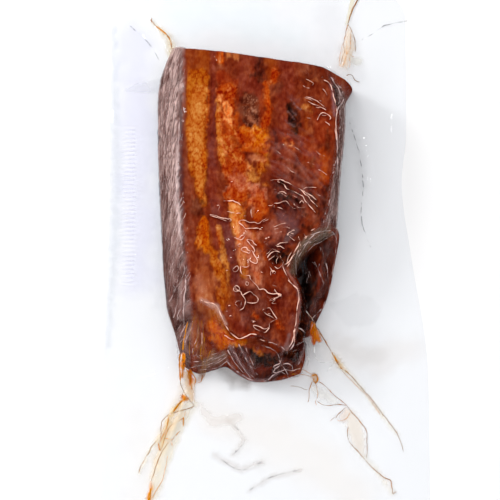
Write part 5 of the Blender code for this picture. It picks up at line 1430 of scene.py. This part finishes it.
# half width at start and end, tone (0 dark, 1 pale amber), route
threads = (
    (0.16, 0.22, 0.25, ((-53.5, 117), (-54, 115.5), (-52, 113))),
    (0.26, 0.50, 0.60, ((-52, 113), (-49.5, 111), (-46.5, 108))),
    (0.34, 0.16, 0.35, ((-46.5, 108), (-44.5, 104.5), (-44, 102), (-42.6, 99), (-40.5, 95.5))),
    (0.10, 0.14, 0.80, ((-44, 102), (-44.5, 100), (-43.5, 97))),
    (0.26, 0.20, 0.18, ((45, 126.5), (44, 125), (41.5, 120), (39.5, 113.5))),
    (0.14, 0.10, 0.25, ((39.5, 113.5), (38.5, 109.5), (38, 107), (37.5, 105), (37, 102.5), (37.5, 99),
                        (36.5, 96), (35.5, 92.5))),
    (0.17, 0.12, 0.12, ((39.5, 113.5), (40.5, 111), (41.5, 109), (42.5, 107), (43, 103), (43, 100))),
    (0.12, 0.10, 0.55, ((40.5, 108), (40.5, 104), (40, 100), (38.5, 97), (37, 92.5), (36, 90))),
    (0.10, 0.10, 0.60, ((38.5, 104), (38.5, 100), (38, 96), (37, 91.5))),
    (0.10, 0.08, 0.65, ((36.5, 102.5), (35.5, 97.5), (35, 93), (35.5, 90.5))),
    (0.10, 0.10, 0.45, ((38.5, 97), (39, 97.5), (40.5, 97.5), (42.5, 97.5))),
    (0.10, 0.08, 0.60, ((39.5, 97), (40, 92.5), (39.5, 91))),
    (0.15, 0.12, 0.05, ((38, 87), (39.5, 88), (40.5, 88.5), (41.5, 88), (42.5, 86.5), (44, 85.5),
                        (45, 85.5))),
    (0.26, 0.42, 0.55, ((-34.5, -29.5), (-35.5, -34), (-36.5, -38.5), (-37, -42))),
    (0.32, 0.26, 0.45, ((-38.5, -43), (-39, -46), (-39, -50.5), (-38.5, -55.5))),
    (0.34, 0.24, 0.85, ((-37.5, -43), (-38, -47), (-38, -50.5), (-38, -54.5))),
    (0.14, 0.16, 0.15, ((-38.5, -54.5), (-38.5, -57), (-37.5, -59.5), (-35.5, -63), (-32.5, -66.5))),
    (0.14, 0.14, 0.15, ((-32.5, -66.5), (-34, -67.5), (-37.5, -68.5), (-42.5, -70), (-44.5, -71),
                        (-46, -72.5), (-47, -73.5), (-47.5, -76.5), (-47.5, -79.5), (-48, -81.5))),
    (0.12, 0.16, 0.12, ((-48.5, -81.5), (-50, -83), (-52, -85.5), (-53.5, -88.5), (-54.5, -89.5))),
    (0.10, 0.10, 0.25, ((-54.5, -89.5), (-55.5, -92), (-56.5, -93))),
    (0.16, 0.14, 0.12, ((-56.5, -93), (-57, -94.5), (-57.5, -97))),
    (0.45, 0.50, 0.55, ((-35.5, -63.5), (-37.5, -64), (-40, -66.5), (-42, -69.5))),
    (0.22, 0.14, 0.80, ((-42.5, -69.5), (-43.5, -71), (-45, -72))),
    (0.34, 0.20, 0.60, ((-44, -71.5), (-44.5, -74.5), (-45.5, -78), (-47, -80.5), (-48, -83))),
    (0.12, 0.10, 0.80, ((-45, -73), (-46.5, -77), (-47.5, -80.5))),
    (0.16, 0.22, 0.45, ((-49, -83), (-48.5, -85.5), (-48, -87))),
    (0.14, 0.14, 0.45, ((-48, -87), (-47, -85), (-46, -81.5), (-45, -78.5), (-43.5, -76), (-41.5, -74.5),
                        (-39.5, -73.5), (-37.5, -72))),
    (0.34, 0.14, 0.50, ((-37.5, -71.5), (-37.5, -74), (-37.5, -76))),
    (0.10, 0.10, 0.55, ((-36.5, -68.5), (-37, -71.5))),
    (0.16, 0.14, 0.40, ((-46, -81.5), (-44.5, -81.5), (-42.5, -82), (-41.5, -80.5), (-39, -78))),
    (0.12, 0.12, 0.55, ((-45.5, -83), (-44.5, -83), (-43, -83), (-42.5, -85))),
    (0.14, 0.15, 0.20, ((-44, -83), (-45.5, -85), (-47.5, -88), (-49, -91.5), (-50, -94.5), (-51, -98),
                        (-52, -100.5))),
    (0.26, 0.80, 0.62, ((-52, -100.5), (-52, -103), (-52.5, -106), (-53, -109.5), (-53.5, -114.5))),
    (0.12, 0.10, 0.60, ((-51.5, -108.5), (-49.5, -104.5), (-47.5, -101.5), (-46, -97), (-45, -92),
                        (-44.5, -89))),
    (0.22, 0.16, 0.45, ((-36, -50), (-35, -52), (-34.5, -55), (-34, -57), (-33.5, -59.5))),
    (0.36, 0.16, 0.50, ((-34.5, -51), (-35.5, -53), (-34.5, -55))),
    (0.22, 0.20, 0.55, ((-34.5, -50.5), (-33, -52.5), (-32, -55), (-32.5, -57))),
    (0.10, 0.10, 0.85, ((-33, -56.5), (-33, -61), (-33, -65.5))),
    (0.12, 0.10, 0.45, ((-24.5, -42), (-26.5, -46.5), (-27.5, -51.5), (-29.5, -55.5), (-31, -56))),
    (0.12, 0.12, 0.25, ((-29, -39.5), (-29, -44), (-28, -48.5), (-28.5, -52), (-29.5, -55))),
    (0.11, 0.11, 0.30, ((-31.5, -27.5), (-33.5, -36), (-34, -44.5))),
    (0.10, 0.10, 0.18, ((-30, -28.5), (-30, -36), (-32.5, -44))),
    (0.11, 0.11, 0.25, ((-28.5, -29), (-27.5, -36), (-29, -43))),
    (0.10, 0.10, 0.20, ((-27, -36), (-28, -44.5), (-29.5, -56))),
    (0.12, 0.14, 0.85, ((18, -24.5), (20, -26.5), (21.5, -28.5))),
    (0.16, 0.20, 0.25, ((22, -28.5), (24, -31), (27, -36), (30.5, -42))),
    (0.24, 0.40, 0.42, ((30.5, -42), (32.5, -45.5), (34, -48.5), (35.5, -50))),
    (0.16, 0.12, 0.70, ((31.5, -43.5), (34, -47), (36.5, -50), (39, -52.5))),
    (0.13, 0.09, 0.12, ((36, -50), (39.5, -53), (43, -57), (46.5, -61), (49.5, -64.5), (52, -68),
                        (55.5, -72.5), (58, -76), (60.5, -79.5), (61.5, -82), (62.5, -85), (63, -87.5))),
    (0.08, 0.07, 0.45, ((35, -50.5), (39, -54.5), (43, -58.5), (46.5, -62), (50, -66.5), (53, -71))),
    (0.16, 0.10, 0.50, ((21, -28.5), (22.5, -31.5), (22.5, -36), (22, -40))),
    (0.15, 0.10, 0.55, ((22, -29), (24.5, -33), (26, -37))),
    (0.13, 0.09, 0.40, ((21, -28.5), (21.5, -33), (20.8, -38))),
    (0.13, 0.09, 0.60, ((21.8, -29), (23.5, -33.5), (24.3, -38.5))),
    (0.12, 0.09, 0.35, ((22.3, -29.5), (25.2, -33.5), (27, -36))),
    (0.10, 0.10, 0.40, ((11.5, -51.5), (15, -50), (18, -50.5), (20, -51.5), (22, -52.5))),
    (0.10, 0.10, 0.30, ((11.5, -52.5), (15, -52.5), (18.5, -52.5), (21.5, -53.5))),
    (0.34, 0.24, 0.45, ((21.5, -53), (22.5, -52.5), (23.5, -52.5), (24, -54.5), (23.5, -56), (22.5, -55.5),
                        (22, -54))),
    (0.09, 0.09, 0.10, ((11.5, -57.5), (15, -58), (18, -59), (19.5, -59.5))),
    (0.16, 0.12, 0.35, ((21.5, -55.5), (20.5, -58), (20, -60), (20, -63), (19.5, -65))),
    (0.12, 0.10, 0.45, ((22.5, -55.5), (23.5, -58.5), (24, -61.5), (23, -65), (23.5, -66.5))),
    (0.12, 0.12, 0.30, ((24.5, -55.5), (27, -57), (29, -59), (31.5, -61.5), (34.5, -64), (37.5, -66.5))),
    (0.12, 0.12, 0.18, ((23.5, -64.5), (26, -66), (29, -66.5), (32, -66), (34.5, -66), (37.5, -66.5))),
    (0.12, 0.12, 0.20, ((37.5, -66.5), (39.5, -69.5), (41.5, -71.5), (43.5, -74), (45.5, -76.5),
                        (46.5, -79), (46.5, -83), (46.5, -87), (46, -90.5))),
    (0.09, 0.09, 0.10, ((37, -67), (35.5, -68.5), (33.5, -70.5), (32, -72.5))),
    (0.09, 0.08, 0.20, ((36, -68), (34.5, -69.5), (31.5, -72), (29.5, -73.5))),
    (0.08, 0.08, 0.50, ((39, -69.5), (37, -72.5), (34, -73.5), (32.5, -72.5))),
    (0.11, 0.12, 0.15, ((38, -76), (37.5, -79.5), (38, -82.5))),
    (0.13, 0.13, 0.18, ((38, -82.5), (40, -85), (41.5, -86.5), (43.5, -88.5), (45.5, -91))),
    (0.13, 0.13, 0.22, ((45.5, -91), (48.5, -94.5), (51.5, -97), (54, -99), (57, -100.5), (57.5, -103),
                        (58, -106.5))),
    (0.14, 0.10, 0.20, ((58, -106.5), (59, -105.5), (60, -105.5))),
)


# from dark to pale amber: place and colour
amberRamp = ((0.0, (120, 88, 36)), (0.3, (162, 98, 0)), (0.6, (218, 136, 0)), (1.0, (255, 255, 255)))


def juiceMaterial():
    tree, material = newMaterial("amberJuice")
    out = addNode(tree, "OutputMaterial")
    shader = addNode(tree, "BsdfPrincipled", {"Roughness": 0.2, "Specular IOR Level": 0.12, "Alpha": 0.97})
    tone, where = carried(tree, "tone"), addNode(tree, "TexCoord")
    cloud = addNode(tree, "TexNoise", {"Scale": 260})
    shift = addNode(tree, "Math", {1: 0.5}, operation="MULTIPLY_ADD")
    middle = addNode(tree, "Math", {1: 0.25}, operation="SUBTRACT")
    ramp = addNode(tree, "ValToRGB")
    fillRamp(ramp, [(spot, (*linear(colour), 1)) for spot, colour in amberRamp])
    wire(tree, (where, "Object", cloud, "Vector"), (cloud, "Fac", shift, 0), (tone, "Fac", shift, 2),
         (shift, 0, middle, 0), (middle, 0, ramp, "Fac"), (ramp, "Color", shader, "Base Color"),
         (shader, 0, out, "Surface"))
    return material


def makeJuice(trees):
    mesh = threadMesh("juiceThreads", trees, threads, sides=7, step=0.6, lift=0.15, wander=0.08, vary=0.22,
                      seed=5)
    piece = newPiece("juiceThreads", mesh, juiceMaterial())
    print("juice made,", len(mesh.polygons), "faces")


trees = filmTrees(wrap, margin)
makePleats(trees)
makeJuice(trees)

# ---- floor, light and camera

# metres and degrees; the sky's light by height, from the horizon to straight above
stage = {
    "floor": 3.0, "floorColour": (0.93, 0.93, 0.935, 1), "distance": 0.600, "tilt": 7.0,
    "aim": (-0.007, 0.0055, 0.0), "lens": 92.7, "sensor": 36,
    "sky": ((0.0, 0.50), (0.70, 0.50), (0.90, 0.04), (1.0, 0.04)),
}

# place, size, power and whether the film mirrors it
lamps = {
    "overhead": ((-0.12, 0.03, 1.15), 1.5, 12.8, False),
    "window": ((-0.82, 0.42, 0.80), 0.23, 3.4, True),
    "strip": ((-0.34, 0.36, 0.95), 0.12, 0.9, True),
}


def makeStage():
    mesh = bpy.data.meshes.new("floor")
    shape = bmesh.new()
    bmesh.ops.create_grid(shape, x_segments=1, y_segments=1, size=stage["floor"] / 2)
    shape.to_mesh(mesh)
    shape.free()
    tree, material = newMaterial("floorWhite")
    wire(tree, (addNode(tree, "BsdfDiffuse", {"Color": stage["floorColour"]}), 0,
                addNode(tree, "OutputMaterial"), "Surface"))
    floor = bpy.data.objects.new("floor", mesh)
    mesh.materials.append(material)
    bpy.context.scene.collection.objects.link(floor)


def makeLights():
    world = bpy.data.worlds.new("softRoom")
    bpy.context.scene.world = world
    world.use_nodes = True
    tree = world.node_tree
    where, split, ramp = addNode(tree, "TexCoord"), addNode(tree, "SeparateXYZ"), addNode(tree, "ValToRGB")
    fillRamp(ramp, [(height, (level, level, level, 1)) for height, level in stage["sky"]])
    wire(tree, (where, "Generated", split, 0), (split, "Z", ramp, 0),
         (ramp, 0, tree.nodes["Background"], "Color"))
    for name, (spot, size, power, mirrored) in lamps.items():
        lamp = bpy.data.lights.new(name, "AREA")
        lamp.energy, lamp.size = power, size
        stand = bpy.data.objects.new(name, lamp)
        stand.location = spot
        stand.rotation_euler = (-Vector(spot)).to_track_quat("-Z", "Y").to_euler()
        stand.visible_glossy = mirrored
        bpy.context.scene.collection.objects.link(stand)


def makeCamera():
    aim, tilt = Vector(stage["aim"]), math.radians(stage["tilt"])
    lens = bpy.data.cameras.new("camera")
    lens.lens, lens.sensor_width = stage["lens"], stage["sensor"]
    camera = bpy.data.objects.new("camera", lens)
    offset = Vector((0, -math.sin(tilt), math.cos(tilt))) * stage["distance"]
    camera.location = aim + offset
    camera.rotation_euler = (-offset).to_track_quat("-Z", "Y").to_euler()
    bpy.context.scene.collection.objects.link(camera)
    bpy.context.scene.camera = camera


makeStage()
makeLights()
makeCamera()
bpy.context.scene.view_settings.view_transform = "Standard"
print("stage ready")
